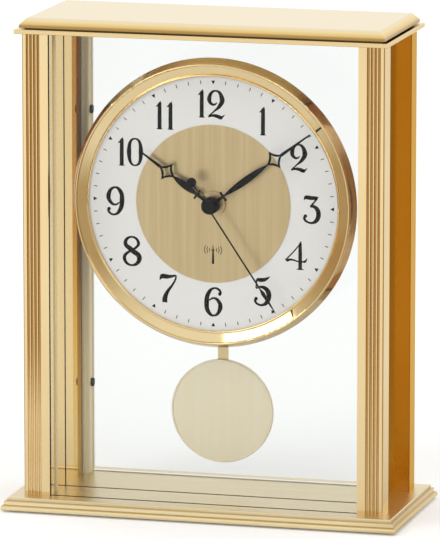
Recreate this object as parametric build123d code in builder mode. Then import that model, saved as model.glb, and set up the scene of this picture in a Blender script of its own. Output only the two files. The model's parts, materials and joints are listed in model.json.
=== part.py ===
from build123d import *
from math import atan2, cos, degrees, radians, sin
import os

# Desk pendulum clock: brass and glass case, round dial, quartz movement with a pendulum.
# X runs to the right, Y to the back and Z up. The origin is at the bottom centre of the base.

# Case frame, outside the columns
frame_width = 193.2
frame_depth = 70.6
column_height = 244.2

# Base tiers, from the floor up
base_overhang_x = 9.75
base_overhang_y = 12.0
felt_thickness = 0.8
felt_inset = 4.0
slab_thickness = 3.0
slab_edge_radius = 1.3
middle_plate_thickness = 2.3
middle_plate_inset = 1.6
middle_plate_edge = 0.7
top_plate_thickness = 1.7
top_plate_inset = 3.0
top_plate_edge = 0.8

# Cap plates
cap_overhang_x = 2.85
cap_overhang_y = 5.0
cap_lower_thickness = 2.3
cap_shadow_gap = 0.7
cap_shadow_depth = 2.5
cap_upper_inset = 2.15
cap_edge_height = 1.4
cap_bevel_height = 3.6
cap_bevel_width = 3.5
cap_bevel_rounding = 1.6

# Columns and side panels
front_column_width = 13.8
front_column_depth = 12.4
rear_column_width = 18.3
rear_column_depth = 11.4
rear_column_rounding = 3.0
column_edge_break = 0.5
flute_count = 4
flute_pitch = 1.95
flute_radius = 0.68
first_flute_inset = 2.75
panel_setback = 9.9
panel_thickness = 4.9
panel_corner_relief = 1.5

# Screws through the base and the cap into the columns
case_screw_radius = 1.5
case_screw_head_radius = 2.8
case_screw_head_height = 1.4
case_screw_grip = 14.0
screw_clearance = 0.1

# Glass
glass_thickness = 3.0
glass_groove_depth = 2.0
panel_groove_depth = 1.0
glass_clearance = 0.1
front_glass_setback = 0.9
dial_glass_setback = 25.8

# Rear door
door_gap = 0.5
hinge_height_from_middle = 73.5
hinge_length = 16.0
hinge_leaf_width = 10.0
hinge_leaf_thickness = 0.8
knuckle_radius = 1.7
knuckle_gap = 0.2
hinge_pin_radius = 0.8
hinge_pin_head_radius = 1.3
hinge_pin_head_height = 0.6
running_fit = 0.05
stop_radius = 2.3
stop_height = 1.0
stop_shank_radius = 1.2
stop_shank_depth = 3.0
stop_fit = 0.1
knob_inset = 24.0
knob_radius = 4.0
knob_neck_radius = 2.0
knob_foot = 0.8
knob_neck_length = 3.0
knob_crown = 1.8
knob_length = 7.0
knob_stud_radius = 1.5
knob_nut_radius = 3.2
knob_nut_thickness = 1.4

# Dial, measured in its own plane
bezel_top_gap = 12.7
bezel_side_gap = 5.5
bezel_width = 9.3
bezel_wall = 2.4
bezel_depth = 7.0
bezel_flare = 2.2
bezel_rim_width = 1.5
bezel_step = 0.5
bezel_slope = 1.8
bezel_lip_width = 1.1
bezel_lip_height = 0.3
dial_edge_clearance = 0.4
dial_backing_thickness = 2.0
dial_plate_thickness = 0.8
centre_disc_radius = 41.5
centre_disc_thickness = 0.3

# Bush, nut and washer that clamp the movement and the dial on the glass
bush_radius = 3.5
bush_flange_radius = 5.5
bush_flange_thickness = 1.2
bush_stick_out = 0.5
bush_clearance = 0.3
nut_radius = 6.8
nut_slot_count = 2
nut_slot_width = 1.2
nut_slot_depth = 1.0
nut_thickness = 2.0
washer_radius = 12.0
washer_thickness = 1.0

# Hands and their concentric arbors
second_arbor_radius = 0.5
minute_tube_radius = 1.6
hour_pipe_radius = 2.4
hand_fit = 0.02
hand_thickness = 0.6
hour_hand_gap = 1.2
hand_gap = 2.7
hour_hand_length = 45.0
minute_hand_end_gap = 0.2
second_hand_end_gap = 1.6
hour_hand_angle = 305.0
minute_hand_angle = 53.5
second_hand_angle = 146.0
hand_hub_radius = 4.4
second_hub_radius = 3.4
hand_neck_width = 1.6
hand_collar_radius = 9.2
hand_collar_width = 5.4
hand_collar_thickness = 1.1
hand_body_width = 3.7
hand_diamond_reach = 5.4
hand_diamond_line = 1.05
hand_diamond_waist_share = 0.39
hand_tip_width = 1.7
hand_end_width = 0.75
hour_diamond_radius = 29.0
minute_diamond_radius = 43.4
second_hand_width = 0.7
second_dart_width = 2.0
second_dart_length = 9.0
second_dart_radius = 50.0
counterweight_radius = 2.5
counterweight_reach = 15.3
second_socket_radius = 1.2
second_socket_gap = 0.3

# Train: tooth numbers, tooth size and wheel layers
tooth_module = 0.5
fine_module = 0.4
rotor_module = 0.35
addendum = 0.85
dedendum = 1.2
tip_share = 0.11
flank_share = 0.2
root_share = 0.27
hour_teeth = 32
motion_pinion_teeth = 8
motion_teeth = 30
minute_pinion_teeth = 10
setting_teeth = 20
centre_teeth = 64
third_pinion_teeth = 8
third_teeth = 60
second_pinion_teeth = 8
second_teeth = 40
fifth_pinion_teeth = 8
fifth_teeth = 48
rotor_pinion_teeth = 8
motion_direction = 180.0
setting_direction = 225.0
third_direction = -50.0
fifth_direction = 20.0
rotor_direction = -20.0
wheel_thickness = 1.0
layer_gap = 0.4
train_arbor_radius = 0.5
pivot_depth = 0.6
motion_post_radius = 0.9
setting_arbor_radius = 1.2
train_plate_thickness = 0.8
rotor_magnet_radius = 2.6
rotor_magnet_length = 2.4
rotor_air_gap = 0.6
stator_thickness = 1.2

# Movement housing, measured from the hands' axis
housing_top = 33.0
housing_bottom = 46.0
housing_wall = 1.5
housing_split_depth = 5.5
housing_inner_depth = 17.5
housing_corner = 3.0
housing_boss_radius = 1.9
housing_screw_radius = 0.9
housing_screw_head_radius = 1.6
housing_screw_head_height = 0.9
housing_boss_inset = 3.2
post_radius = 1.2
post_inset = 2.4
bearing_boss_radius = 1.8
plate_left = 7.4
plate_right = 22.4
plate_top = 13.0
plate_bottom = 21.3
bridge_post_from_axis = 3.0
stator_post_height = 10.2
stator_wall = 1.0

# Cell, electronics, buttons and setting knob
cell_radius = 7.25
cell_length = 49.0
cell_nub_radius = 2.75
cell_nub_length = 1.5
cell_end_room = 5.75
cell_height = 23.3
cell_bay_wall = 1.2
cell_bay_slack = 0.9
cell_seat_gap = 0.1
cell_recess = 0.25
contact_thickness = 0.5
contact_width = 8.0
contact_gap = 0.05
cradle_rib_thickness = 1.2
cradle_rib_spacing = 30.0
coil_radius = 3.2
coil_length = 17.0
coil_core_width = 2.4
coil_core_thickness = 1.2
coil_from_axis = 26.0
coil_wall_gap = 0.3
stator_half_height = 12.0
stator_arm_height = 2.5
board_thickness = 1.2
board_depth = 12.0
board_width = 15.5
board_height = 27.0
board_left = 25.0
board_top = 16.0
aerial_radius = 3.0
aerial_winding_radius = 3.6
aerial_length = 25.5
aerial_winding_length = 10.0
aerial_from_axis = 25.5
aerial_top = 14.0
button_radius = 2.0
button_flange_radius = 2.8
button_flange_thickness = 1.1
button_stem_radius = 1.2
button_proud = 1.5
button_travel = 1.2
button_fit = 0.05
button_drop = 24.0
reset_button_from_axis = 22.0
signal_button_from_axis = 13.0
set_knob_radius = 6.0
set_knob_length = 4.0
set_knob_gap = 0.3
set_knob_grips = 24
set_knob_grip_radius = 0.45

# Pendulum
pendulum_pivot_drop = 26.0
pivot_pin_radius = 0.8
pivot_pin_boss_radius = 2.0
hanger_hub_radius = 3.2
hanger_setback = 10.0
hanger_thickness = 4.0
hanger_side_gap = 0.5
hanger_width = 5.0
hanger_tongue_thickness = 0.9
hanger_reach = 30.0
magnet_radius = 3.0
magnet_length = 2.5
magnet_wall = 1.2
magnet_drop = 12.0
drive_coil_radius = 6.0
drive_coil_bore = 2.5
drive_coil_gap = 1.2
swing_slot_half_width = 9.0
rod_width = 5.65
rod_thickness = 1.0
rod_eye_drop = 27.0
rod_eye_radius = 1.2
rod_eye_margin = 3.0
rod_tail = 10.0
bob_radius = 27.6
bob_height = 49.7
bob_thickness = 1.5
bob_rim_width = 1.0
bob_rim_height = 0.35
bob_edge_rounding = 0.3

# Heights and planes of the case
slab_bottom = felt_thickness
middle_bottom = slab_bottom + slab_thickness
top_bottom = middle_bottom + middle_plate_thickness
floor_height = top_bottom + top_plate_thickness
cap_bottom = floor_height + column_height
cap_seam = cap_bottom + cap_lower_thickness
cap_rim = cap_seam + cap_shadow_gap
middle_height = floor_height + column_height / 2
half_width = frame_width / 2
front_plane = -frame_depth / 2
rear_plane = frame_depth / 2
base_width = frame_width + 2 * base_overhang_x
base_depth = frame_depth + 2 * base_overhang_y
cap_width = frame_width + 2 * cap_overhang_x
cap_depth = frame_depth + 2 * cap_overhang_y
cap_upper_width = cap_width - 2 * cap_upper_inset
cap_upper_depth = cap_depth - 2 * cap_upper_inset
front_column_inner = half_width - front_column_width
rear_column_inner = half_width - rear_column_width
front_column_rear = front_plane + front_column_depth
rear_column_front = rear_plane - rear_column_depth
panel_outer = half_width - panel_setback
panel_inner = panel_outer - panel_thickness
bezel_radius = panel_inner - bezel_side_gap
bezel_opening_radius = bezel_radius - bezel_width
rebate_radius = bezel_radius - bezel_wall
dial_radius = rebate_radius - dial_edge_clearance
dial_height = round(cap_bottom - bezel_top_gap - bezel_radius, 6)
minute_hand_length = bezel_opening_radius - minute_hand_end_gap
second_hand_length = bezel_opening_radius - second_hand_end_gap
front_glass_front = front_plane + front_glass_setback
dial_glass_front = front_plane + dial_glass_setback
dial_glass_rear = dial_glass_front + glass_thickness
door_front = rear_plane - glass_thickness
groove_width = glass_thickness + 2 * glass_clearance

front_screw_x = half_width - front_column_width / 2
rear_screw_x = half_width - rear_column_width / 2
front_screw_y = front_plane + front_column_depth / 2
rear_screw_y = rear_plane - rear_column_depth / 2
front_screws = [(-front_screw_x, front_screw_y), (front_screw_x, front_screw_y)]
rear_screws = [(-rear_screw_x, rear_screw_y), (rear_screw_x, rear_screw_y)]
case_screws = front_screws + rear_screws


# Round hole or post, drawn at one height on all the places and run up
def upright_holes(places, radius, bottom, depth):
    with BuildSketch(Plane.XY.offset(bottom)) as holes:
        with Locations(*places):
            Circle(radius)
    extrude(holes.sketch, amount=depth, mode=Mode.SUBTRACT)


def box_between(low, high, mode=Mode.ADD):
    size = [b - a for a, b in zip(low, high)]
    with Locations(tuple((a + b) / 2 for a, b in zip(low, high))):
        Box(*size, mode=mode)


# Base: felt, bullnose slab and two smaller plates
with BuildPart() as base_felt:
    with BuildSketch():
        Rectangle(base_width - 2 * felt_inset, base_depth - 2 * felt_inset)
    extrude(amount=felt_thickness)

with BuildPart() as base_slab:
    with BuildSketch(Plane.XY.offset(slab_bottom)):
        Rectangle(base_width, base_depth)
    extrude(amount=slab_thickness)
    fillet(base_slab.edges().filter_by(Axis.Z, reverse=True), radius=slab_edge_radius)
    head_room = case_screw_head_height + screw_clearance
    upright_holes(case_screws, case_screw_head_radius + screw_clearance, slab_bottom, head_room)
    upright_holes(case_screws, case_screw_radius + screw_clearance, slab_bottom, slab_thickness)

with BuildPart() as base_middle_plate:
    with BuildSketch(Plane.XY.offset(middle_bottom)):
        Rectangle(base_width - 2 * middle_plate_inset, base_depth - 2 * middle_plate_inset)
    extrude(amount=middle_plate_thickness)
    fillet(base_middle_plate.faces().sort_by(Axis.Z)[-1].edges(), radius=middle_plate_edge)
    upright_holes(case_screws, case_screw_radius + screw_clearance, middle_bottom, middle_plate_thickness)

with BuildPart() as base_top_plate:
    with BuildSketch(Plane.XY.offset(top_bottom)):
        Rectangle(base_width - 2 * top_plate_inset, base_depth - 2 * top_plate_inset)
    extrude(amount=top_plate_thickness)
    fillet(base_top_plate.faces().sort_by(Axis.Z)[-1].edges(), radius=top_plate_edge)
    upright_holes(case_screws, case_screw_radius + screw_clearance, top_bottom, top_plate_thickness)

with BuildPart() as base_screws:
    with BuildSketch(Plane.XY.offset(slab_bottom)):
        with Locations(*case_screws):
            Circle(case_screw_head_radius)
    extrude(amount=case_screw_head_height)
    with BuildSketch(Plane.XY.offset(slab_bottom)):
        with Locations(*case_screws):
            Circle(case_screw_radius)
    extrude(amount=floor_height - slab_bottom + case_screw_grip)

# Columns: plain on the inside, fluted on the outer face, with a groove for the front glass
column_screw_hole = case_screw_radius + screw_clearance
column_screw_depth = case_screw_grip + screw_clearance

with BuildPart() as front_column_right:
    with BuildSketch(Plane.XY.offset(floor_height)) as front_section:
        with Locations((front_screw_x, front_screw_y)):
            Rectangle(front_column_width, front_column_depth)
        chamfer(front_section.vertices().group_by(Axis.Y)[0].sort_by(Axis.X)[-1], length=column_edge_break)
        with Locations((half_width - first_flute_inset, front_plane)):
            with Locations(*[(-flute_pitch * n, 0) for n in range(flute_count)]):
                Circle(flute_radius, mode=Mode.SUBTRACT)
        with Locations((front_column_inner, front_glass_front + glass_thickness / 2)):
            Rectangle(2 * glass_groove_depth, groove_width, mode=Mode.SUBTRACT)
    extrude(amount=column_height)
    upright_holes(front_screws, column_screw_hole, floor_height, column_screw_depth)
    upright_holes(front_screws, column_screw_hole, cap_bottom - column_screw_depth, column_screw_depth)

with BuildPart() as front_column_left:
    mirror(front_column_right.part, about=Plane.YZ)

with BuildPart() as rear_column_right:
    with BuildSketch(Plane.XY.offset(floor_height)) as rear_section:
        with Locations((rear_screw_x, rear_screw_y)):
            Rectangle(rear_column_width, rear_column_depth)
        fillet(rear_section.vertices().group_by(Axis.Y)[0].sort_by(Axis.X)[0], radius=rear_column_rounding)
        chamfer(rear_section.vertices().group_by(Axis.Y)[-1].sort_by(Axis.X)[-1], length=column_edge_break)
        with Locations((half_width - first_flute_inset, rear_plane)):
            with Locations(*[(-flute_pitch * n, 0) for n in range(flute_count)]):
                Circle(flute_radius, mode=Mode.SUBTRACT)
    extrude(amount=column_height)
    upright_holes(rear_screws, column_screw_hole, floor_height, column_screw_depth)
    upright_holes(rear_screws, column_screw_hole, cap_bottom - column_screw_depth, column_screw_depth)

# The left rear column also takes the two rubber door stops, on its inner face
hinge_heights = [middle_height - hinge_height_from_middle, middle_height + hinge_height_from_middle]
stop_y = door_front - stop_radius - stop_fit
stop_plane = Plane(origin=(-rear_column_inner, stop_y, 0), x_dir=(0, 1, 0), z_dir=(1, 0, 0))

with BuildPart() as rear_column_left:
    mirror(rear_column_right.part, about=Plane.YZ)
    with BuildSketch(stop_plane) as stop_holes:
        with Locations(*[(0, height) for height in hinge_heights]):
            Circle(stop_shank_radius + stop_fit)
    extrude(stop_holes.sketch, amount=-(stop_shank_depth + stop_fit), mode=Mode.SUBTRACT)

with BuildPart() as door_stops:
    with BuildSketch(stop_plane):
        with Locations(*[(0, height) for height in hinge_heights]):
            Circle(stop_radius)
    extrude(amount=stop_height)
    with BuildSketch(stop_plane):
        with Locations(*[(0, height) for height in hinge_heights]):
            Circle(stop_shank_radius)
    extrude(amount=-stop_shank_depth)

# Polished side panels between the columns, grooved for the dial glass
with BuildPart() as side_panel_right:
    with BuildSketch(Plane.XY.offset(floor_height)):
        with Locations(((panel_inner + panel_outer) / 2, (front_column_rear + rear_column_front) / 2)):
            Rectangle(panel_thickness, rear_column_front - front_column_rear)
        with Locations((panel_inner, rear_column_front)):
            Rectangle(2 * panel_corner_relief, 2 * panel_corner_relief, mode=Mode.SUBTRACT)
        with Locations((panel_inner, dial_glass_front + glass_thickness / 2)):
            Rectangle(2 * panel_groove_depth, groove_width, mode=Mode.SUBTRACT)
    extrude(amount=column_height)

with BuildPart() as side_panel_left:
    mirror(side_panel_right.part, about=Plane.YZ)

# Cap: a thin lower plate, and an upper plate that stands off it by a shadow gap
with BuildPart() as cap_lower_plate:
    with BuildSketch(Plane.XY.offset(cap_bottom)):
        Rectangle(cap_width, cap_depth)
    extrude(amount=cap_lower_thickness)
    fillet(cap_lower_plate.edges().filter_by(Axis.Z, reverse=True), radius=column_edge_break)
    upright_holes(case_screws, case_screw_radius + screw_clearance, cap_bottom, cap_lower_thickness)
    head_seat = cap_seam - case_screw_head_height - screw_clearance
    upright_holes(case_screws, case_screw_head_radius + screw_clearance, head_seat, head_room)

with BuildPart() as cap_screws:
    with BuildSketch(Plane.XY.offset(head_seat)):
        with Locations(*case_screws):
            Circle(case_screw_head_radius)
    extrude(amount=case_screw_head_height)
    with BuildSketch(Plane.XY.offset(cap_bottom - case_screw_grip)):
        with Locations(*case_screws):
            Circle(case_screw_radius)
    extrude(amount=head_seat - cap_bottom + case_screw_grip)

bevel_angle = degrees(atan2(cap_bevel_width, cap_bevel_height))

with BuildPart() as cap_upper_plate:
    with BuildSketch(Plane.XY.offset(cap_seam)):
        Rectangle(cap_upper_width - 2 * cap_shadow_depth, cap_upper_depth - 2 * cap_shadow_depth)
    extrude(amount=cap_shadow_gap)
    with BuildSketch(Plane.XY.offset(cap_rim)):
        Rectangle(cap_upper_width, cap_upper_depth)
    extrude(amount=cap_edge_height)
    with BuildSketch(Plane.XY.offset(cap_rim + cap_edge_height)):
        Rectangle(cap_upper_width, cap_upper_depth)
    extrude(amount=cap_bevel_height, taper=bevel_angle)
    fillet(cap_upper_plate.faces().sort_by(Axis.Z)[-1].edges(), radius=cap_bevel_rounding)

# Panes: the front one stands in the columns, the dial glass in the side panels
with BuildPart() as front_glass:
    pane_half = front_column_inner + glass_groove_depth - glass_clearance
    pane_low = (-pane_half, front_glass_front, floor_height)
    box_between(pane_low, (pane_half, front_glass_front + glass_thickness, cap_bottom))

with BuildPart() as dial_glass:
    pane_half = panel_inner + panel_groove_depth - glass_clearance
    pane_low = (-pane_half, dial_glass_front, floor_height)
    box_between(pane_low, (pane_half, dial_glass_rear, cap_bottom))
    with BuildSketch(Plane(origin=(0, dial_glass_rear, dial_height), z_dir=(0, -1, 0))) as bush_hole:
        Circle(bush_radius + bush_clearance)
    extrude(bush_hole.sketch, amount=glass_thickness, mode=Mode.SUBTRACT)

# Rear door: a pane on two hinges behind the right rear column, with a small knob
hinge_x = rear_column_inner - door_gap / 2
hinge_y = rear_plane + knuckle_radius + knuckle_gap
knob_x = -(rear_column_inner - door_gap - knob_inset)
knob_plane = Plane(origin=(knob_x, 0, middle_height), x_dir=(0, 1, 0), z_dir=(1, 0, 0))

with BuildPart() as rear_glass:
    pane_half = rear_column_inner - door_gap
    pane_low = (-pane_half, door_front, floor_height + door_gap)
    box_between(pane_low, (pane_half, rear_plane, cap_bottom - door_gap))
    with BuildSketch(Plane(origin=(knob_x, rear_plane, middle_height), z_dir=(0, -1, 0))) as stud_hole:
        Circle(knob_stud_radius + running_fit)
    extrude(stud_hole.sketch, amount=glass_thickness, mode=Mode.SUBTRACT)


# One half of a hinge: a leaf flat on the rear plane, rolled into a bored knuckle
def hinge_half(bottom, side):
    with BuildSketch(Plane.XY.offset(bottom)) as section:
        with Locations((hinge_x, hinge_y)):
            Circle(knuckle_radius)
        with Locations((hinge_x + side * hinge_leaf_width / 2, rear_plane + hinge_leaf_thickness / 2)):
            Rectangle(hinge_leaf_width, hinge_leaf_thickness)
        with Locations((hinge_x, hinge_y)):
            Circle(hinge_pin_radius + running_fit, mode=Mode.SUBTRACT)
    extrude(section.sketch, amount=(hinge_length - knuckle_gap) / 2)


with BuildPart() as hinge_leaves:
    for height in hinge_heights:
        hinge_half(height + knuckle_gap / 2, 1)

with BuildPart() as hinge_plates:
    for height in hinge_heights:
        hinge_half(height - hinge_length / 2, -1)

with BuildPart() as hinge_pins:
    for height in hinge_heights:
        with BuildSketch(Plane.XY.offset(height - hinge_length / 2)):
            with Locations((hinge_x, hinge_y)):
                Circle(hinge_pin_radius)
        extrude(amount=hinge_length)
        with BuildSketch(Plane.XY.offset(height + hinge_length / 2)):
            with Locations((hinge_x, hinge_y)):
                Circle(hinge_pin_head_radius)
        extrude(amount=hinge_pin_head_height)

with BuildPart() as door_knob:
    with BuildSketch(knob_plane):
        with BuildLine():
            Polyline(
                (door_front - knob_nut_thickness, 0),
                (door_front - knob_nut_thickness, knob_nut_radius),
                (door_front, knob_nut_radius),
                (door_front, knob_stud_radius),
                (rear_plane, knob_stud_radius),
                (rear_plane, knob_nut_radius),
                (rear_plane + knob_foot, knob_neck_radius),
                (rear_plane + knob_neck_length, knob_neck_radius),
                (rear_plane + knob_length - knob_crown, knob_radius),
            )
            RadiusArc(
                (rear_plane + knob_length - knob_crown, knob_radius),
                (rear_plane + knob_length, 0),
                (knob_radius**2 + knob_crown**2) / (2 * knob_crown),
            )
            Line((rear_plane + knob_length, 0), (door_front - knob_nut_thickness, 0))
        make_face()
    revolve(axis=Axis((knob_x, 0, middle_height), (0, 1, 0)))

# Dial stack, from the dial glass to the front, and the movement behind the glass
backing_front = dial_glass_front - dial_backing_thickness
dial_front = backing_front - dial_plate_thickness
disc_front = dial_front - centre_disc_thickness
nut_front = disc_front - nut_thickness
bush_front = nut_front - bush_stick_out
hour_hand_rear = bush_front - hour_hand_gap
minute_hand_rear = hour_hand_rear - hand_thickness - hand_gap
second_hand_rear = minute_hand_rear - hand_thickness - hand_gap
housing_front = dial_glass_rear + washer_thickness
inner_front = housing_front + housing_wall
housing_split = inner_front + housing_split_depth
inner_rear = inner_front + housing_inner_depth
housing_rear = inner_rear + housing_wall
bush_hole_radius = bush_radius + screw_clearance


# Plane parallel to the dial that looks to the front, centred on the hands' axis plus a shift
def dial_plane(y, shift=(0, 0), turn=0):
    angle = radians(turn)
    origin = (shift[0], y, dial_height + shift[1])
    return Plane(origin=origin, x_dir=(cos(angle), 0, -sin(angle)), z_dir=(0, -1, 0))


def discs(places, radius, rear, thickness, mode=Mode.ADD):
    with BuildSketch(dial_plane(rear)) as outline:
        with Locations(*places):
            Circle(radius)
    extrude(outline.sketch, amount=thickness, mode=mode)


def ring(outer, inner, rear, thickness, place=(0, 0)):
    with BuildSketch(dial_plane(rear, place)) as outline:
        Circle(outer)
        Circle(inner, mode=Mode.SUBTRACT)
    extrude(outline.sketch, amount=thickness)


# Block in the dial plane: left, bottom, right and top from the hands' axis, and its rear and front
def block(corners, rear, front, mode=Mode.ADD):
    left, bottom, right, top = corners
    low = (left, front, dial_height + bottom)
    high = (right, rear, dial_height + top)
    box_between(low, high, mode)


with BuildPart() as dial_backing:
    ring(dial_radius, bush_hole_radius, dial_glass_front, dial_backing_thickness)

with BuildPart() as dial_plate:
    ring(dial_radius, bush_hole_radius, backing_front, dial_plate_thickness)

with BuildPart() as dial_centre_disc:
    ring(centre_disc_radius, bush_hole_radius, dial_front, centre_disc_thickness)

# Bezel: a flared wall, a half-round rim, a step, a sloped band and a fine lip over the dial's edge
rim_round = bezel_rim_width / 2
rim_shoulder = dial_glass_front - bezel_depth + rim_round
rim_outer = bezel_radius - bezel_flare
rim_inner = rim_outer - bezel_rim_width
band_top = rim_shoulder + bezel_step
band_bottom = band_top + bezel_slope
lip_outer = bezel_opening_radius + bezel_lip_width
lip_shoulder = band_bottom - bezel_lip_height
lip_seat = dial_front - screw_clearance

with BuildPart() as bezel:
    with BuildSketch(Plane(origin=(0, 0, dial_height), x_dir=(0, 1, 0), z_dir=(1, 0, 0))):
        with BuildLine():
            Polyline(
                (dial_glass_front, rebate_radius),
                (dial_glass_front, bezel_radius),
                (rim_shoulder, rim_outer),
            )
            ThreePointArc(
                (rim_shoulder, rim_outer),
                (rim_shoulder - rim_round, rim_outer - rim_round),
                (rim_shoulder, rim_inner),
            )
            Polyline(
                (rim_shoulder, rim_inner),
                (band_top, rim_inner),
                (band_bottom, lip_outer),
                (lip_shoulder, lip_outer),
            )
            ThreePointArc(
                (lip_shoulder, lip_outer),
                (lip_shoulder - bezel_lip_width / 2, bezel_opening_radius + bezel_lip_width / 2),
                (lip_shoulder, bezel_opening_radius),
            )
            Polyline(
                (lip_shoulder, bezel_opening_radius),
                (lip_seat, bezel_opening_radius),
                (lip_seat, rebate_radius),
                (dial_glass_front, rebate_radius),
            )
        make_face()
    revolve(axis=Axis((0, 0, dial_height), (0, 1, 0)))

# Bush, nut and rubber washer
with BuildPart() as threaded_bush:
    bush_bore = hour_pipe_radius + running_fit
    ring(bush_radius, bush_bore, inner_front, inner_front - bush_front)
    ring(bush_flange_radius, bush_bore, inner_front + bush_flange_thickness, bush_flange_thickness)

with BuildPart() as bush_nut:
    with BuildSketch(dial_plane(disc_front)):
        Circle(nut_radius)
        with PolarLocations(nut_radius, nut_slot_count, start_angle=90 - minute_hand_angle):
            Rectangle(2 * nut_slot_depth, nut_slot_width, mode=Mode.SUBTRACT)
        Circle(bush_radius + running_fit, mode=Mode.SUBTRACT)
    extrude(amount=nut_thickness)

with BuildPart() as rubber_washer:
    ring(washer_radius, bush_hole_radius, housing_front, washer_thickness)


# Closed outline from arcs, each given by its start and the point that it bows through
def arc_outline(points, bows, mode=Mode.ADD):
    with BuildLine(Plane.XY) as edge:
        for start, bow, end in zip(points, bows, points[1:] + points[:1]):
            ThreePointArc(start, bow, end)
    make_face(edge.edges(), mode=mode)


# Outline of an hour or minute hand that points to twelve: hub, collar, body, open diamond and tip
def spade_outline(length, diamond_radius, bore):
    neck = hand_neck_width / 2
    body_end = diamond_radius - hand_diamond_reach
    body_middle = (hand_collar_radius + body_end) / 2
    tip_start = diamond_radius + hand_diamond_reach - hand_diamond_line
    opening = 1 - 2 * hand_diamond_line / hand_diamond_reach
    Circle(hand_hub_radius)
    with Locations((0, hand_collar_radius / 2)):
        Rectangle(hand_neck_width, hand_collar_radius)
    with Locations((0, hand_collar_radius)):
        Rectangle(hand_collar_width, hand_collar_thickness)
    body_tips = [(0, hand_collar_radius - neck), (0, body_end + hand_diamond_line + neck)]
    arc_outline(body_tips, [(hand_body_width / 2, body_middle), (-hand_body_width / 2, body_middle)])
    for share, mode in ((1, Mode.ADD), (opening, Mode.SUBTRACT)):
        reach = hand_diamond_reach * share
        waist = hand_diamond_waist_share * reach
        tips = [(reach, 0), (0, reach), (-reach, 0), (0, -reach)]
        bows = [(waist, waist), (-waist, waist), (-waist, -waist), (waist, -waist)]
        raised = [[(x, y + diamond_radius) for x, y in corners] for corners in (tips, bows)]
        arc_outline(*raised, mode)
    root = hand_tip_width / 2
    end = hand_end_width / 2
    Polygon((root, tip_start), (end, length), (-end, length), (-root, tip_start))
    Circle(bore, mode=Mode.SUBTRACT)


with BuildPart() as hour_hand:
    with BuildSketch(dial_plane(hour_hand_rear, turn=hour_hand_angle)):
        spade_outline(hour_hand_length, hour_diamond_radius, hour_pipe_radius + hand_fit)
    extrude(amount=hand_thickness)

with BuildPart() as minute_hand:
    with BuildSketch(dial_plane(minute_hand_rear, turn=minute_hand_angle)):
        spade_outline(minute_hand_length, minute_diamond_radius, minute_tube_radius + hand_fit)
    extrude(amount=hand_thickness)

with BuildPart() as second_hand:
    with BuildSketch(dial_plane(second_hand_rear, turn=second_hand_angle)):
        Circle(second_hub_radius)
        with Locations((0, -counterweight_reach)):
            Circle(counterweight_radius)
        with Locations((0, (second_dart_radius - counterweight_reach) / 2)):
            Rectangle(second_hand_width, second_dart_radius + counterweight_reach)
        Polygon(
            (0, second_dart_radius - second_hand_width),
            (second_dart_width / 2, second_dart_radius + second_dart_length / 3),
            (0, second_hand_length),
            (-second_dart_width / 2, second_dart_radius + second_dart_length / 3),
        )
    extrude(amount=hand_thickness)
    socket_length = hand_gap - second_socket_gap
    socket_rear = second_hand_rear + socket_length
    discs([(0, 0)], second_socket_radius, socket_rear, socket_length)
    discs([(0, 0)], second_arbor_radius + hand_fit, socket_rear, socket_length, Mode.SUBTRACT)


# Train: places of the arbors from the hands' axis, and the layers of the wheels
def step_from(place, distance, direction):
    angle = radians(direction)
    return (place[0] + distance * cos(angle), place[1] + distance * sin(angle))


hands_axis = (0, 0)
motion_distance = tooth_module * (minute_pinion_teeth + motion_teeth) / 2
setting_distance = tooth_module * (motion_teeth + setting_teeth) / 2
third_distance = fine_module * (second_pinion_teeth + third_teeth) / 2
fifth_distance = fine_module * (second_teeth + fifth_pinion_teeth) / 2
rotor_distance = rotor_module * (fifth_teeth + rotor_pinion_teeth) / 2
hour_module = 2 * motion_distance / (motion_pinion_teeth + hour_teeth)
centre_module = 2 * third_distance / (third_pinion_teeth + centre_teeth)
motion_axis = step_from(hands_axis, motion_distance, motion_direction)
setting_axis = step_from(motion_axis, setting_distance, setting_direction)
third_axis = step_from(hands_axis, third_distance, third_direction)
fifth_axis = step_from(hands_axis, fifth_distance, fifth_direction)
rotor_axis = step_from(fifth_axis, rotor_distance, rotor_direction)

layer_step = wheel_thickness + layer_gap
hour_layer = inner_front + bush_flange_thickness + layer_gap
motion_layer = hour_layer + layer_step
centre_layer = motion_layer + layer_step
third_layer = centre_layer + layer_step
train_plate_front = third_layer + layer_step
train_plate_rear = train_plate_front + train_plate_thickness
second_layer = train_plate_rear + layer_gap
fifth_layer = second_layer + layer_step
magnet_front = fifth_layer + layer_step + layer_gap
magnet_rear = magnet_front + rotor_magnet_length
stator_front = (magnet_front + magnet_rear - stator_thickness) / 2
stator_rear = stator_front + stator_thickness
bridge_front = magnet_rear + layer_gap
bridge_rear = bridge_front + train_plate_thickness
arbor_hole = train_arbor_radius + running_fit


# Turn of a wheel that puts a gap of it on the line of centres wherever its mate has a tooth
def mating_turn(turn, teeth, direction, mate_teeth):
    offset = (turn - direction) * teeth / 360
    return direction + 180 - (offset + 0.5) * 360 / mate_teeth


def toothed_wheel(place, front, thickness, teeth, module, turn):
    pitch_radius = teeth * module / 2
    flank = [
        (pitch_radius - dedendum * module, root_share),
        (pitch_radius, flank_share),
        (pitch_radius + addendum * module, tip_share),
    ]
    points = []
    for tooth in range(teeth):
        middle = turn + tooth * 360 / teeth
        points += [step_from(hands_axis, radius, middle - share * 360 / teeth) for radius, share in flank]
        for radius, share in flank[::-1]:
            points.append(step_from(hands_axis, radius, middle + share * 360 / teeth))
    with BuildSketch(dial_plane(front + thickness, place)) as outline:
        Polygon(*points)
    extrude(outline.sketch, amount=thickness)


def bore(place, radius, rear, depth):
    discs([place], radius, rear, depth, Mode.SUBTRACT)


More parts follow.
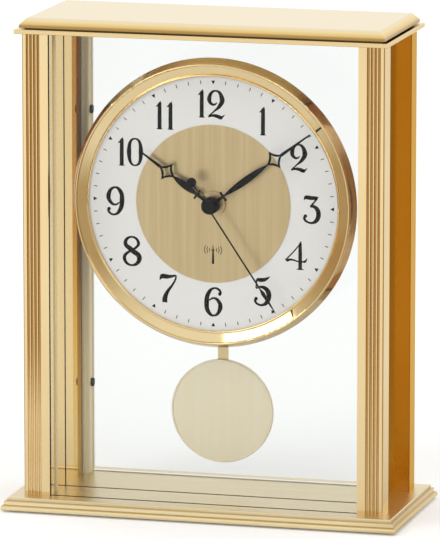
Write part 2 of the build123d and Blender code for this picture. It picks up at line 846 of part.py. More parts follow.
with BuildPart() as hour_wheel:
    toothed_wheel(hands_axis, hour_layer, wheel_thickness, hour_teeth, hour_module, 0)
    pipe_length = hour_layer + wheel_thickness - hour_hand_rear + hand_thickness
    discs([hands_axis], hour_pipe_radius, hour_layer + wheel_thickness, pipe_length)
    bore(hands_axis, minute_tube_radius + running_fit, hour_layer + wheel_thickness, pipe_length)

motion_pinion_turn = mating_turn(0, hour_teeth, motion_direction, motion_pinion_teeth)
motion_turn = mating_turn(0, minute_pinion_teeth, motion_direction, motion_teeth)

with BuildPart() as motion_wheel:
    toothed_wheel(motion_axis, hour_layer, layer_step, motion_pinion_teeth, hour_module, motion_pinion_turn)
    toothed_wheel(motion_axis, motion_layer, wheel_thickness, motion_teeth, tooth_module, motion_turn)
    bore(motion_axis, motion_post_radius + running_fit, motion_layer + wheel_thickness, 2 * layer_step)

with BuildPart() as centre_wheel:
    toothed_wheel(hands_axis, motion_layer, layer_step, minute_pinion_teeth, tooth_module, 0)
    toothed_wheel(hands_axis, centre_layer, wheel_thickness, centre_teeth, centre_module, 0)
    tube_length = centre_layer + wheel_thickness - minute_hand_rear + hand_thickness
    discs([hands_axis], minute_tube_radius, centre_layer + wheel_thickness, tube_length)
    bore(hands_axis, second_arbor_radius + running_fit, centre_layer + wheel_thickness, tube_length)

third_pinion_turn = mating_turn(0, centre_teeth, third_direction, third_pinion_teeth)
third_turn = mating_turn(0, second_pinion_teeth, third_direction, third_teeth)
third_arbor_front = inner_front + pivot_depth

with BuildPart() as third_wheel:
    toothed_wheel(
        third_axis, centre_layer, layer_step, third_pinion_teeth, centre_module, third_pinion_turn
    )
    toothed_wheel(third_axis, third_layer, wheel_thickness, third_teeth, fine_module, third_turn)
    discs([third_axis], train_arbor_radius, bridge_rear, bridge_rear - third_arbor_front)

with BuildPart() as second_wheel:
    toothed_wheel(hands_axis, third_layer, wheel_thickness, second_pinion_teeth, fine_module, 0)
    toothed_wheel(hands_axis, second_layer, wheel_thickness, second_teeth, fine_module, 0)
    arbor_front = second_hand_rear + hand_fit
    discs([hands_axis], second_arbor_radius, bridge_rear, bridge_rear - arbor_front)

fifth_pinion_turn = mating_turn(0, second_teeth, fifth_direction, fifth_pinion_teeth)

with BuildPart() as fifth_wheel:
    toothed_wheel(fifth_axis, second_layer, layer_step, fifth_pinion_teeth, fine_module, fifth_pinion_turn)
    toothed_wheel(fifth_axis, fifth_layer, wheel_thickness, fifth_teeth, rotor_module, 0)
    discs([fifth_axis], train_arbor_radius, bridge_rear, bridge_rear - train_plate_front)

rotor_pinion_turn = mating_turn(0, fifth_teeth, rotor_direction, rotor_pinion_teeth)

with BuildPart() as rotor:
    toothed_wheel(
        rotor_axis, fifth_layer, wheel_thickness, rotor_pinion_teeth, rotor_module, rotor_pinion_turn
    )
    discs([rotor_axis], rotor_magnet_radius, magnet_rear, rotor_magnet_length)
    discs([rotor_axis], train_arbor_radius, bridge_rear, bridge_rear - train_plate_front)

setting_turn = mating_turn(motion_turn, motion_teeth, setting_direction, setting_teeth)
knob_front = housing_rear + set_knob_gap
knob_rear = knob_front + set_knob_length
setting_arbor_front = inner_front + pivot_depth

with BuildPart() as setting_wheel:
    toothed_wheel(setting_axis, motion_layer, wheel_thickness, setting_teeth, tooth_module, setting_turn)
    setting_arbor_rear = knob_rear - pivot_depth
    setting_arbor_length = setting_arbor_rear - setting_arbor_front
    discs([setting_axis], setting_arbor_radius, setting_arbor_rear, setting_arbor_length)

with BuildPart() as set_knob:
    with BuildSketch(dial_plane(knob_rear, setting_axis)):
        Circle(set_knob_radius)
        with PolarLocations(set_knob_radius, set_knob_grips):
            Circle(set_knob_grip_radius, mode=Mode.SUBTRACT)
    extrude(amount=set_knob_length)
    bore(setting_axis, setting_arbor_radius + hand_fit, knob_rear - pivot_depth, set_knob_length)

# Plates that carry the train, the posts between them, and the motor
plate_posts = [(plate_right - post_inset, plate_top - post_inset)]
corner_posts = [
    (plate_right - post_inset, post_inset - plate_bottom),
    (post_inset - plate_left, post_inset - plate_bottom),
]
bridge_posts = corner_posts + [(bridge_post_from_axis, plate_top - post_radius)]
stator_posts = [(rotor_axis[0], stator_post_height), (rotor_axis[0], -stator_post_height)]
train_axes = [hands_axis, third_axis, fifth_axis, rotor_axis]

with BuildPart() as train_plate:
    block((-plate_left, -plate_bottom, plate_right, plate_top), train_plate_rear, train_plate_front)
    discs(bridge_posts, post_radius, bridge_front, bridge_front - train_plate_rear)
    discs(stator_posts, post_radius, stator_front, stator_front - train_plate_rear)
    discs(train_axes, arbor_hole, train_plate_rear, train_plate_thickness, Mode.SUBTRACT)

with BuildPart() as train_bridge:
    block((-plate_left, -plate_bottom, plate_right, plate_top), bridge_rear, bridge_front)
    discs(train_axes, arbor_hole, bridge_rear, train_plate_thickness, Mode.SUBTRACT)

stator_right = coil_from_axis + coil_core_width
stator_body_right = coil_from_axis - coil_radius - layer_gap
stator_left = rotor_axis[0] - rotor_magnet_radius - rotor_air_gap - stator_wall
stator_arm_bottom = stator_half_height - stator_arm_height

with BuildPart() as motor_stator:
    stator_body = (stator_left, -stator_half_height, stator_body_right, stator_half_height)
    block(stator_body, stator_rear, stator_front)
    block((stator_left, stator_arm_bottom, stator_right, stator_half_height), stator_rear, stator_front)
    block((stator_left, -stator_half_height, stator_right, -stator_arm_bottom), stator_rear, stator_front)
    bore(rotor_axis, rotor_magnet_radius + rotor_air_gap, stator_rear, stator_thickness)

with BuildPart() as motor_coil:
    core_left = coil_from_axis - coil_core_width / 2
    core_corners = (core_left, -stator_half_height, core_left + coil_core_width, stator_half_height)
    block(core_corners, stator_rear + coil_core_thickness, stator_rear)
    core_middle = stator_rear + coil_core_thickness / 2
    with BuildSketch(Plane.XY.offset(dial_height - coil_length / 2)):
        with Locations((coil_from_axis, core_middle)):
            Circle(coil_radius)
    extrude(amount=coil_length)

# Housing of the movement: two shells screwed together, as wide as the cell or the motor needs
cell_span = cell_length + cell_nub_length
motor_reach = coil_from_axis + coil_radius + coil_wall_gap + housing_wall
housing_half_width = max(cell_span / 2 + cell_end_room, motor_reach)
boss_x = housing_half_width - housing_boss_inset
boss_top = housing_top - housing_boss_inset
boss_bottom = housing_bottom - housing_boss_inset
housing_bosses = [(-boss_x, -boss_bottom), (boss_x, -boss_bottom), (-boss_x, boss_top), (boss_x, boss_top)]
pendulum_axis = (0, -pendulum_pivot_drop)
hanger_front = inner_front + hanger_setback
hanger_rear = hanger_front + hanger_thickness
cell_middle = housing_rear - cell_radius - cell_recess
bay_bottom = cell_height - cell_radius - cell_bay_slack
bay_top = cell_height + cell_radius + cell_bay_slack
board_front = inner_front + board_depth
board_posts = [
    (post_inset - board_left, -board_top - post_inset),
    (board_width - board_left - post_inset, post_inset - board_top - board_height),
]
reset_place = (-reset_button_from_axis, -button_drop)
signal_place = (-signal_button_from_axis, -button_drop)


def housing_shell(rear, front, pocket_rear, pocket_front):
    height = housing_top + housing_bottom
    middle = (0, (housing_top - housing_bottom) / 2)
    with BuildSketch(dial_plane(rear, middle)) as outside:
        RectangleRounded(2 * housing_half_width, height, housing_corner)
    extrude(outside.sketch, amount=rear - front)
    with BuildSketch(dial_plane(pocket_rear, middle)) as inside:
        inner_width = 2 * (housing_half_width - housing_wall)
        RectangleRounded(inner_width, height - 2 * housing_wall, housing_corner - housing_wall)
    extrude(inside.sketch, amount=pocket_rear - pocket_front, mode=Mode.SUBTRACT)


with BuildPart() as movement_front_housing:
    housing_shell(housing_split, housing_front, housing_split, inner_front)
    discs(plate_posts + corner_posts, post_radius, train_plate_front, train_plate_front - inner_front)
    discs(board_posts, post_radius, board_front, board_front - inner_front)
    discs(housing_bosses, housing_boss_radius, housing_split, housing_split - inner_front)
    post_rear = centre_layer - layer_gap
    discs([motion_axis], motion_post_radius, post_rear, post_rear - inner_front)
    discs([third_axis], bearing_boss_radius, motion_layer, motion_layer - inner_front)
    boss_rear = hour_layer + wheel_thickness
    discs([setting_axis], bearing_boss_radius, boss_rear, boss_rear - inner_front)
    pin_boss_rear = hanger_front - hanger_side_gap
    discs([pendulum_axis], pivot_pin_boss_radius, pin_boss_rear, pin_boss_rear - inner_front)
    rib_rear = cell_middle - cell_radius - cell_seat_gap
    for side in (-1, 1):
        rib_left = (side * cradle_rib_spacing - cradle_rib_thickness) / 2
        rib = (rib_left, bay_bottom, rib_left + cradle_rib_thickness, bay_top)
        block(rib, rib_rear, inner_front)
    bore(hands_axis, bush_hole_radius, inner_front, housing_wall)
    bore(third_axis, arbor_hole, motion_layer, motion_layer - third_arbor_front + running_fit)
    setting_bore_depth = centre_layer - setting_arbor_front + running_fit
    bore(setting_axis, setting_arbor_radius + running_fit, centre_layer, setting_bore_depth)
    bore(pendulum_axis, pivot_pin_radius + running_fit, pin_boss_rear, pin_boss_rear - inner_front)
    screw_hole = housing_screw_radius + running_fit
    discs(housing_bosses, screw_hole, housing_split, housing_split_depth, Mode.SUBTRACT)

with BuildPart() as movement_rear_housing:
    housing_shell(housing_rear, housing_split, inner_rear, housing_split)
    discs(housing_bosses, housing_boss_radius, inner_rear, inner_rear - housing_split)
    rear_boss_front = hanger_rear + hanger_side_gap
    discs([pendulum_axis], pivot_pin_boss_radius, inner_rear, inner_rear - rear_boss_front)
    wall_x = housing_half_width - housing_wall
    block((-wall_x, bay_bottom - cell_bay_wall, wall_x, bay_bottom), inner_rear, housing_split)
    bay_half = (cell_span + cell_nub_length) / 2
    block((-bay_half, bay_bottom, bay_half, bay_top), housing_rear, inner_rear, Mode.SUBTRACT)
    slot = (-swing_slot_half_width, -housing_bottom, swing_slot_half_width, housing_wall - housing_bottom)
    block(slot, hanger_rear + hanger_side_gap, hanger_front - hanger_side_gap, Mode.SUBTRACT)
    bore(setting_axis, setting_arbor_radius + running_fit, housing_rear, housing_wall)
    bore(pendulum_axis, pivot_pin_radius + running_fit, inner_rear, inner_rear - rear_boss_front)
    button_hole = button_radius + button_fit
    discs([reset_place, signal_place], button_hole, housing_rear, housing_wall, Mode.SUBTRACT)
    discs(housing_bosses, screw_hole, housing_rear, housing_rear - housing_split, Mode.SUBTRACT)

with BuildPart() as housing_screws:
    head_rear = housing_rear + housing_screw_head_height
    discs(housing_bosses, housing_screw_head_radius, head_rear, housing_screw_head_height)
    discs(housing_bosses, housing_screw_radius, housing_rear, housing_rear - inner_front - pivot_depth)

# Cell with its contacts, the circuit board and the aerial
with BuildPart() as battery_cell:
    cell_end = (-cell_span / 2, cell_middle, dial_height + cell_height)
    cell_plane = Plane(origin=cell_end, z_dir=(1, 0, 0))
    with BuildSketch(cell_plane):
        Circle(cell_radius)
    extrude(amount=cell_length)
    with BuildSketch(cell_plane):
        Circle(cell_nub_radius)
    extrude(amount=cell_length + cell_nub_length)

with BuildPart() as battery_contacts:
    contact_inner = cell_span / 2 + contact_gap
    for left in (-contact_inner - contact_thickness, contact_inner):
        strip_bottom = cell_height - contact_width / 2
        strip = (left, strip_bottom, left + contact_thickness, strip_bottom + contact_width)
        block(strip, cell_middle + contact_width / 2, inner_front)

with BuildPart() as circuit_board:
    board = (-board_left, -board_top - board_height, board_width - board_left, -board_top)
    block(board, board_front + board_thickness, board_front)

with BuildPart() as ferrite_aerial:
    aerial_y = inner_front + aerial_winding_radius + cell_seat_gap
    aerial_bottom = dial_height - aerial_top - aerial_length
    for radius, length in ((aerial_radius, aerial_length), (aerial_winding_radius, aerial_winding_length)):
        with BuildSketch(Plane.XY.offset(aerial_bottom + (aerial_length - length) / 2)):
            with Locations((aerial_from_axis, aerial_y)):
                Circle(radius)
        extrude(amount=length)


# Push button: a flange behind the wall, a stem that reaches the board, and the proud cap
def push_button(place):
    flange_rear = inner_rear - button_fit
    stem_front = board_front + board_thickness + button_travel + button_fit
    discs([place], button_radius, housing_rear + button_proud, housing_rear + button_proud - flange_rear)
    discs([place], button_flange_radius, flange_rear, button_flange_thickness)
    discs([place], button_stem_radius, flange_rear, flange_rear - stem_front)


with BuildPart() as reset_button:
    push_button(reset_place)

with BuildPart() as signal_button:
    push_button(signal_place)

# Pendulum: drive coil, pin, hanger with its magnet, flat rod and round bob
magnet_place = (0, -pendulum_pivot_drop - magnet_drop)
hanger_bottom = pendulum_pivot_drop + hanger_reach
eye_place = (0, -pendulum_pivot_drop - rod_eye_drop)
tongue_front = hanger_rear - hanger_tongue_thickness
rod_rear = tongue_front - running_fit
rod_front = rod_rear - rod_thickness

with BuildPart() as pendulum_coil:
    coil_rear = hanger_front - drive_coil_gap
    ring(drive_coil_radius, drive_coil_bore, coil_rear, coil_rear - inner_front, magnet_place)

with BuildPart() as pendulum_pivot_pin:
    discs([pendulum_axis], pivot_pin_radius, inner_rear, inner_rear - inner_front)

with BuildPart() as pendulum_hanger:
    discs([pendulum_axis], hanger_hub_radius, hanger_rear, hanger_thickness)
    arm = (-hanger_width / 2, housing_wall - housing_bottom, hanger_width / 2, -pendulum_pivot_drop)
    block(arm, hanger_rear, hanger_front)
    discs([magnet_place], magnet_radius + magnet_wall, hanger_rear, hanger_thickness)
    tongue = (-hanger_width / 2, -hanger_bottom, hanger_width / 2, -pendulum_pivot_drop)
    block(tongue, hanger_rear, tongue_front)
    discs([eye_place], rod_eye_radius, hanger_rear, hanger_rear - rod_front + rod_thickness / 2)
    bore(pendulum_axis, pivot_pin_radius + running_fit, hanger_rear, hanger_thickness)
    bore(magnet_place, magnet_radius + running_fit, hanger_front + magnet_length, magnet_length)

with BuildPart() as pendulum_magnet:
    discs([magnet_place], magnet_radius, hanger_front + magnet_length, magnet_length)

with BuildPart() as pendulum_rod:
    rod_top = eye_place[1] + rod_eye_margin
    rod_bottom = bob_height - dial_height - rod_tail
    block((-rod_width / 2, rod_bottom, rod_width / 2, rod_top), rod_rear, rod_front)
    bore(eye_place, rod_eye_radius + running_fit, rod_rear, rod_thickness)

with BuildPart() as pendulum_bob:
    bob_place = (0, bob_height - dial_height)
    discs([bob_place], bob_radius, rod_front, bob_thickness)
    ring(bob_radius, bob_radius - bob_rim_width, rod_front, bob_thickness + bob_rim_height, bob_place)
    fillet(pendulum_bob.faces().sort_by(Axis.Y)[0].edges(), radius=bob_edge_rounding)

pieces = {
    "base_felt": base_felt,
    "base_slab": base_slab,
    "base_middle_plate": base_middle_plate,
    "base_top_plate": base_top_plate,
    "base_screws": base_screws,
    "front_column_right": front_column_right,
    "front_column_left": front_column_left,
    "rear_column_right": rear_column_right,
    "rear_column_left": rear_column_left,
    "side_panel_right": side_panel_right,
    "side_panel_left": side_panel_left,
    "cap_lower_plate": cap_lower_plate,
    "cap_screws": cap_screws,
    "cap_upper_plate": cap_upper_plate,
    "front_glass": front_glass,
    "dial_glass": dial_glass,
    "rear_glass": rear_glass,
    "door_stops": door_stops,
    "hinge_leaves": hinge_leaves,
    "hinge_plates": hinge_plates,
    "hinge_pins": hinge_pins,
    "door_knob": door_knob,
    "dial_backing": dial_backing,
    "dial_plate": dial_plate,
    "dial_centre_disc": dial_centre_disc,
    "bezel": bezel,
    "threaded_bush": threaded_bush,
    "bush_nut": bush_nut,
    "rubber_washer": rubber_washer,
    "hour_hand": hour_hand,
    "minute_hand": minute_hand,
    "second_hand": second_hand,
    "hour_wheel": hour_wheel,
    "motion_wheel": motion_wheel,
    "centre_wheel": centre_wheel,
    "third_wheel": third_wheel,
    "second_wheel": second_wheel,
    "fifth_wheel": fifth_wheel,
    "rotor": rotor,
    "setting_wheel": setting_wheel,
    "set_knob": set_knob,
    "train_plate": train_plate,
    "train_bridge": train_bridge,
    "motor_stator": motor_stator,
    "motor_coil": motor_coil,
    "movement_front_housing": movement_front_housing,
    "movement_rear_housing": movement_rear_housing,
    "housing_screws": housing_screws,
    "battery_cell": battery_cell,
    "battery_contacts": battery_contacts,
    "circuit_board": circuit_board,
    "ferrite_aerial": ferrite_aerial,
    "reset_button": reset_button,
    "signal_button": signal_button,
    "pendulum_coil": pendulum_coil,
    "pendulum_pivot_pin": pendulum_pivot_pin,
    "pendulum_hanger": pendulum_hanger,
    "pendulum_magnet": pendulum_magnet,
    "pendulum_rod": pendulum_rod,
    "pendulum_bob": pendulum_bob,
}

os.makedirs("parts", exist_ok=True)
for name, piece in pieces.items():
    piece.part.label = name
    export_step(piece.part, f"parts/{name}.step")
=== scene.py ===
import bpy
import json
import math
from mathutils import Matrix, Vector


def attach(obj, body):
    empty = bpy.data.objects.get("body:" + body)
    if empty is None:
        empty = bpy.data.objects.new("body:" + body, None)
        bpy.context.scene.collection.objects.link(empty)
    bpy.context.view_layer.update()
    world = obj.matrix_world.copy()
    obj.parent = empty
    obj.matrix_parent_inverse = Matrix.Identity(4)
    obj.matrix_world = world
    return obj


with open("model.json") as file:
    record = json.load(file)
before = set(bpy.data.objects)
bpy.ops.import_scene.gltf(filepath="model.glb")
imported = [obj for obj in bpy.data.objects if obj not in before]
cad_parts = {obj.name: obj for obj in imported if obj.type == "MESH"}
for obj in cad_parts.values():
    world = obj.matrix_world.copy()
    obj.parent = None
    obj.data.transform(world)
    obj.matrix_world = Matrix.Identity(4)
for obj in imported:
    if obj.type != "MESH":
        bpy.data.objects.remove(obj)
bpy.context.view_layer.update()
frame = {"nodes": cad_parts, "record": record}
nodes = frame["nodes"]
mm = 0.001
colourA, colourB, colourOut = 6, 7, 2  # colour sockets of a Mix node
print("frame loaded,", len(nodes), "nodes")


def linearColour(hexText):  # sRGB hex to linear, opaque
    channels = [int(hexText[i:i + 2], 16) / 255 for i in (1, 3, 5)]
    linear = [c / 12.92 if c <= 0.04045 else ((c + 0.055) / 1.055) ** 2.4 for c in channels]
    return linear + [1.0]


def addNode(tree, kind, settings=None, inputs=None, links=None):  # a node, its settings, values and incoming links
    node = tree.nodes.new(kind)
    for name, value in (settings or {}).items():
        setattr(node, name, value)
    for name, value in (inputs or {}).items():
        node.inputs[name].default_value = value
    for name, source in (links or {}).items():
        tree.links.new(source, node.inputs[name])
    return node


def perMetre(sizeMm):  # texture scale for a pattern of this size
    return 1000 / sizeMm


def newMaterial(name):
    material = bpy.data.materials.new(name)
    material.use_nodes = True
    tree = material.node_tree
    return material, tree, tree.nodes["Principled BSDF"]


def aimAt(thing, target):  # turns a camera or lamp towards a place
    thing.rotation_euler = (Vector(target) - thing.location).to_track_quat("-Z", "Y").to_euler()


# Camera: fitted to the straight edges of the case
cameraView = {"place": (0.8127, -2.9646, 0.6925), "aim": (0, 0, 0.126), "lensMm": 399.8, "sensorMm": 36, "farM": 50}

cameraData = bpy.data.cameras.new("studioCamera")
cameraData.lens = cameraView["lensMm"]
cameraData.sensor_width = cameraView["sensorMm"]
cameraData.clip_end = cameraView["farM"]
camera = bpy.data.objects.new("studioCamera", cameraData)
camera.location = cameraView["place"]
aimAt(camera, cameraView["aim"])
bpy.context.scene.collection.objects.link(camera)
bpy.context.scene.camera = camera
bpy.context.scene.view_settings.view_transform = "Standard"
print("camera set")

# Studio: white paper behind and before the clock, a tan room at its sides, soft boxes above
studio = {
    "paper": "#ffffff", "tan": "#bcaa89", "room": "#b2966a", "skyStrength": 0.85, "skyRoot": 0.02,
    "floorPaint": "#f3f2f0", "floorSize": 8.0, "floorRoughness": 0.9, "floorLift": 0.25,
    "boxHeight": 0.33, "edgeBlur": 0.2, "frontGlow": 0.8, "backLift": 0.09, "frontLift": 0.05,
    "backHalf": 0.42, "frontHalf": 0.4, "frontShift": 0.3, "fanRoot": 0.25, "fanOffset": 0.07,
    "fanBlur": 0.12, "tanEnd": 0.35, "roomStart": 0.75,
}
lamps = {
    "keyBox": {"place": (-1.1, -1.4, 1.3), "size": 1.1, "watts": 9},
    "fillBox": {"place": (1.5, -1.2, 1.3), "size": 1.0, "watts": 4},
}
lampAim = (0, 0, 0.12)


def besideFan(tree, spot, root, offset):  # a fan of paper before and behind the clock, a tan margin, then the room
    backHalf, frontHalf, blur = studio["backHalf"], studio["frontHalf"], studio["fanBlur"]
    inFront = addNode(tree, "ShaderNodeMath", {"operation": "LESS_THAN"}, {1: 0.0}, {0: spot.outputs["Y"]})
    away = addNode(tree, "ShaderNodeMath", {"operation": "ABSOLUTE"}, links={0: spot.outputs["Y"]})
    reach = addNode(tree, "ShaderNodeMath", {"operation": "ADD"}, {1: root}, {0: away.outputs[0]})
    across = addNode(tree, "ShaderNodeMath", {"operation": "MULTIPLY_ADD"}, {1: -offset},
                     {0: inFront.outputs[0], 2: spot.outputs["X"]})
    bearing = addNode(tree, "ShaderNodeMath", {"operation": "DIVIDE"},
                      links={0: across.outputs[0], 1: reach.outputs[0]})
    shifted = addNode(tree, "ShaderNodeMath", {"operation": "MULTIPLY_ADD"}, {1: studio["frontShift"]},
                      {0: inFront.outputs[0], 2: bearing.outputs[0]})
    aside = addNode(tree, "ShaderNodeMath", {"operation": "ABSOLUTE"}, links={0: shifted.outputs[0]})
    half = addNode(tree, "ShaderNodeMath", {"operation": "MULTIPLY_ADD"}, {1: frontHalf - backHalf, 2: backHalf},
                   {0: inFront.outputs[0]})
    past = addNode(tree, "ShaderNodeMath", {"operation": "SUBTRACT"},
                   links={0: aside.outputs[0], 1: half.outputs[0]})
    edge = addNode(tree, "ShaderNodeMapRange", {"interpolation_type": "SMOOTHSTEP"},
                   {"From Min": -blur, "From Max": blur}, {"Value": past.outputs[0]})
    far = addNode(tree, "ShaderNodeMapRange", {"interpolation_type": "SMOOTHSTEP"},
                  {"From Min": studio["tanEnd"], "From Max": studio["roomStart"]}, {"Value": past.outputs[0]})
    margin = addNode(tree, "ShaderNodeMix", {"data_type": "RGBA"},
                     {colourA: linearColour(studio["tan"]), colourB: linearColour(studio["room"])},
                     {"Factor": far.outputs[0]})
    return edge.outputs[0], inFront.outputs[0], margin.outputs[colourOut]


def inMirror(tree, rays):  # 1 for what shows in polished metal or on a pane, also where seen through another pane
    bounced = addNode(tree, "ShaderNodeMath", {"operation": "GREATER_THAN"}, {1: 0.5},
                      {0: rays.outputs["Glossy Depth"]})
    sharp = addNode(tree, "ShaderNodeMath", {"operation": "SUBTRACT", "use_clamp": True},
                    links={0: bounced.outputs[0], 1: rays.outputs["Is Diffuse Ray"]})
    return sharp.outputs[0]


def seenStraight(tree, rays):  # 1 for what the camera sees by itself or through glass
    straight = addNode(tree, "ShaderNodeMath", {"operation": "MAXIMUM"},
                       links={0: rays.outputs["Is Camera Ray"], 1: rays.outputs["Is Transmission Ray"]})
    return straight.outputs[0]


world = bpy.data.worlds.new("studioSurround")
world.use_nodes = True
bpy.context.scene.world = world
skyTree = world.node_tree
soft = skyTree.nodes["Background"]  # lights the clock evenly
soft.inputs["Color"].default_value = linearColour(studio["paper"])
soft.inputs["Strength"].default_value = studio["skyStrength"]
paper = addNode(skyTree, "ShaderNodeBackground", inputs={"Color": linearColour(studio["paper"])})  # seen straight
rays = addNode(skyTree, "ShaderNodeLightPath")
way = addNode(skyTree, "ShaderNodeSeparateXYZ",
              links={0: addNode(skyTree, "ShaderNodeTexCoord").outputs["Generated"]})
beside, inFront, margin = besideFan(skyTree, way, studio["skyRoot"], 0.0)
room = addNode(skyTree, "ShaderNodeBackground", links={"Color": margin})  # mirrored by metal at the sides
glow = addNode(skyTree, "ShaderNodeMapRange", {}, {"To Min": 1.0, "To Max": studio["frontGlow"]}, {"Value": inFront})
within = addNode(skyTree, "ShaderNodeMath", {"operation": "SUBTRACT"}, {0: 1.0}, {1: beside})
sweep = addNode(skyTree, "ShaderNodeMath", {"operation": "MULTIPLY"},
                links={0: within.outputs[0], 1: glow.outputs[0]})
overhead = addNode(skyTree, "ShaderNodeMapRange", {"interpolation_type": "SMOOTHSTEP"},
                   {"From Min": studio["boxHeight"] - studio["edgeBlur"],
                    "From Max": studio["boxHeight"] + studio["edgeBlur"]}, {"Value": way.outputs["Z"]})
bright = addNode(skyTree, "ShaderNodeMath", {"operation": "MAXIMUM"},
                 links={0: sweep.outputs[0], 1: overhead.outputs[0]})
mirrored = addNode(skyTree, "ShaderNodeMixShader",
                   links={0: bright.outputs[0], 1: room.outputs[0], 2: paper.outputs[0]})
softOrPaper = addNode(skyTree, "ShaderNodeMixShader",
                      links={0: seenStraight(skyTree, rays), 1: soft.outputs[0], 2: paper.outputs[0]})
choice = addNode(skyTree, "ShaderNodeMixShader",
                 links={0: inMirror(skyTree, rays), 1: softOrPaper.outputs[0], 2: mirrored.outputs[0]})
skyTree.links.new(choice.outputs[0], skyTree.nodes["World Output"].inputs["Surface"])

for name, lamp in lamps.items():
    lampData = bpy.data.lights.new(name, "AREA")
    lampData.energy = lamp["watts"]
    lampData.size = lamp["size"]
    lampObject = bpy.data.objects.new(name, lampData)
    lampObject.visible_glossy = False  # the metal mirrors the surround, not the lamps
    lampObject.location = lamp["place"]
    aimAt(lampObject, lampAim)
    bpy.context.scene.collection.objects.link(lampObject)

bpy.ops.object.select_all(action="DESELECT")
bpy.ops.mesh.primitive_plane_add(size=studio["floorSize"])
floor = bpy.context.object
floor.name = "studioFloor"


def matFloorPaper():  # white for the eye, with a shadow; polished metal sees a fan of paper and the room beside it
    material, tree, shader = newMaterial("matFloorPaper")
    shader.inputs["Base Color"].default_value = linearColour(studio["floorPaint"])
    shader.inputs["Roughness"].default_value = studio["floorRoughness"]
    rays = addNode(tree, "ShaderNodeLightPath")
    spot = addNode(tree, "ShaderNodeSeparateXYZ",
                   links={0: addNode(tree, "ShaderNodeTexCoord").outputs["Object"]})
    beside, inFront, margin = besideFan(tree, spot, studio["fanRoot"], studio["fanOffset"])
    mirrored = inMirror(tree, rays)
    dark = addNode(tree, "ShaderNodeMath", {"operation": "MULTIPLY"}, links={0: beside, 1: mirrored})
    room = addNode(tree, "ShaderNodeEmission", links={"Color": margin})
    ground = addNode(tree, "ShaderNodeMixShader",
                     links={0: dark.outputs[0], 1: shader.outputs[0], 2: room.outputs[0]})
    inFan = addNode(tree, "ShaderNodeMath", {"operation": "SUBTRACT", "use_clamp": True},
                    links={0: mirrored, 1: beside})
    share = addNode(tree, "ShaderNodeMapRange", {},
                    {"To Min": studio["backLift"], "To Max": studio["frontLift"]}, {"Value": inFront})
    mirrorLift = addNode(tree, "ShaderNodeMath", {"operation": "MULTIPLY"},
                         links={0: inFan.outputs[0], 1: share.outputs[0]})
    direct = addNode(tree, "ShaderNodeMath", {"operation": "SUBTRACT", "use_clamp": True},
                     links={0: seenStraight(tree, rays), 1: mirrored})
    amount = addNode(tree, "ShaderNodeMath", {"operation": "MULTIPLY_ADD"}, {1: studio["floorLift"]},
                     {0: direct.outputs[0], 2: mirrorLift.outputs[0]})
    lift = addNode(tree, "ShaderNodeEmission", links={"Strength": amount.outputs[0]})
    both = addNode(tree, "ShaderNodeAddShader", links={0: ground.outputs[0], 1: lift.outputs[0]})
    tree.links.new(both.outputs[0], tree.nodes["Material Output"].inputs["Surface"])
    return material


floor.data.materials.append(matFloorPaper())
print("studio built")

# Finishes
polish = {"deep": "#ebce96", "pale": "#f2dcac", "driftMm": 45, "stepShare": 0.12, "lineMm": 0.7, "lineLengthMm": 90,
          "gloss": (0.045, 0.1), "coat": 0.25, "coatRoughness": 0.03, "grazing": "#fff8e6"}
# painted shade in the column flutes: darker in the grooves and lighter at the foot, standing in for reflections
fluteZone = {"insideMm": 86.9, "outsideMm": 94.4, "frontMm": 35.35, "depthMm": 0.6,
             "landShade": 0.16, "tone": "#bd9452", "fadeMm": (45, 95), "footShade": 0.22}
# the right column's painted shade is lighter and fades out lower, because the light falls on it differently
rightFlutes = dict(fluteZone, landShade=0.1, tone="#c79f5f", fadeMm=(10, 110), footShade=0.6)
# painted darker reflection on the bezel's flank
bezelFlank = {"centreMm": 163.0, "innerMm": 73.9, "outerMm": 74.5, "tone": "#bfa678"}
brushing = {"streakMm": 3.2, "grainLengthMm": 60, "streakLengthMm": 120, "stepShare": 0.25,
            "bump": 0.15, "bumpMm": 0.02}
speckle = {"glossSpread": 0.15, "bump": 0.5}
paneGlass = {"tint": "#fbfcfc", "ior": 1.5, "bloom": "#8a8a8a", "hazeMm": 60, "haze": 0.012}


def heightTone(tree, place, steps):  # colour by height, from rising pairs of mm and hex
    low, high = steps[0][0], steps[-1][0]
    spot = addNode(tree, "ShaderNodeSeparateXYZ", links={0: place.outputs["Object"]})
    share = addNode(tree, "ShaderNodeMapRange", {}, {"From Min": low * mm, "From Max": high * mm},
                    {"Value": spot.outputs["Z"]})
    ramp = addNode(tree, "ShaderNodeValToRGB", links={"Fac": share.outputs[0]})
    points = ramp.color_ramp.elements
    for height, _ in steps[1:-1]:
        points.new((height - low) / (high - low))
    for point, (_, tone) in zip(points, steps):
        point.color = linearColour(tone)
    return ramp.outputs["Color"]


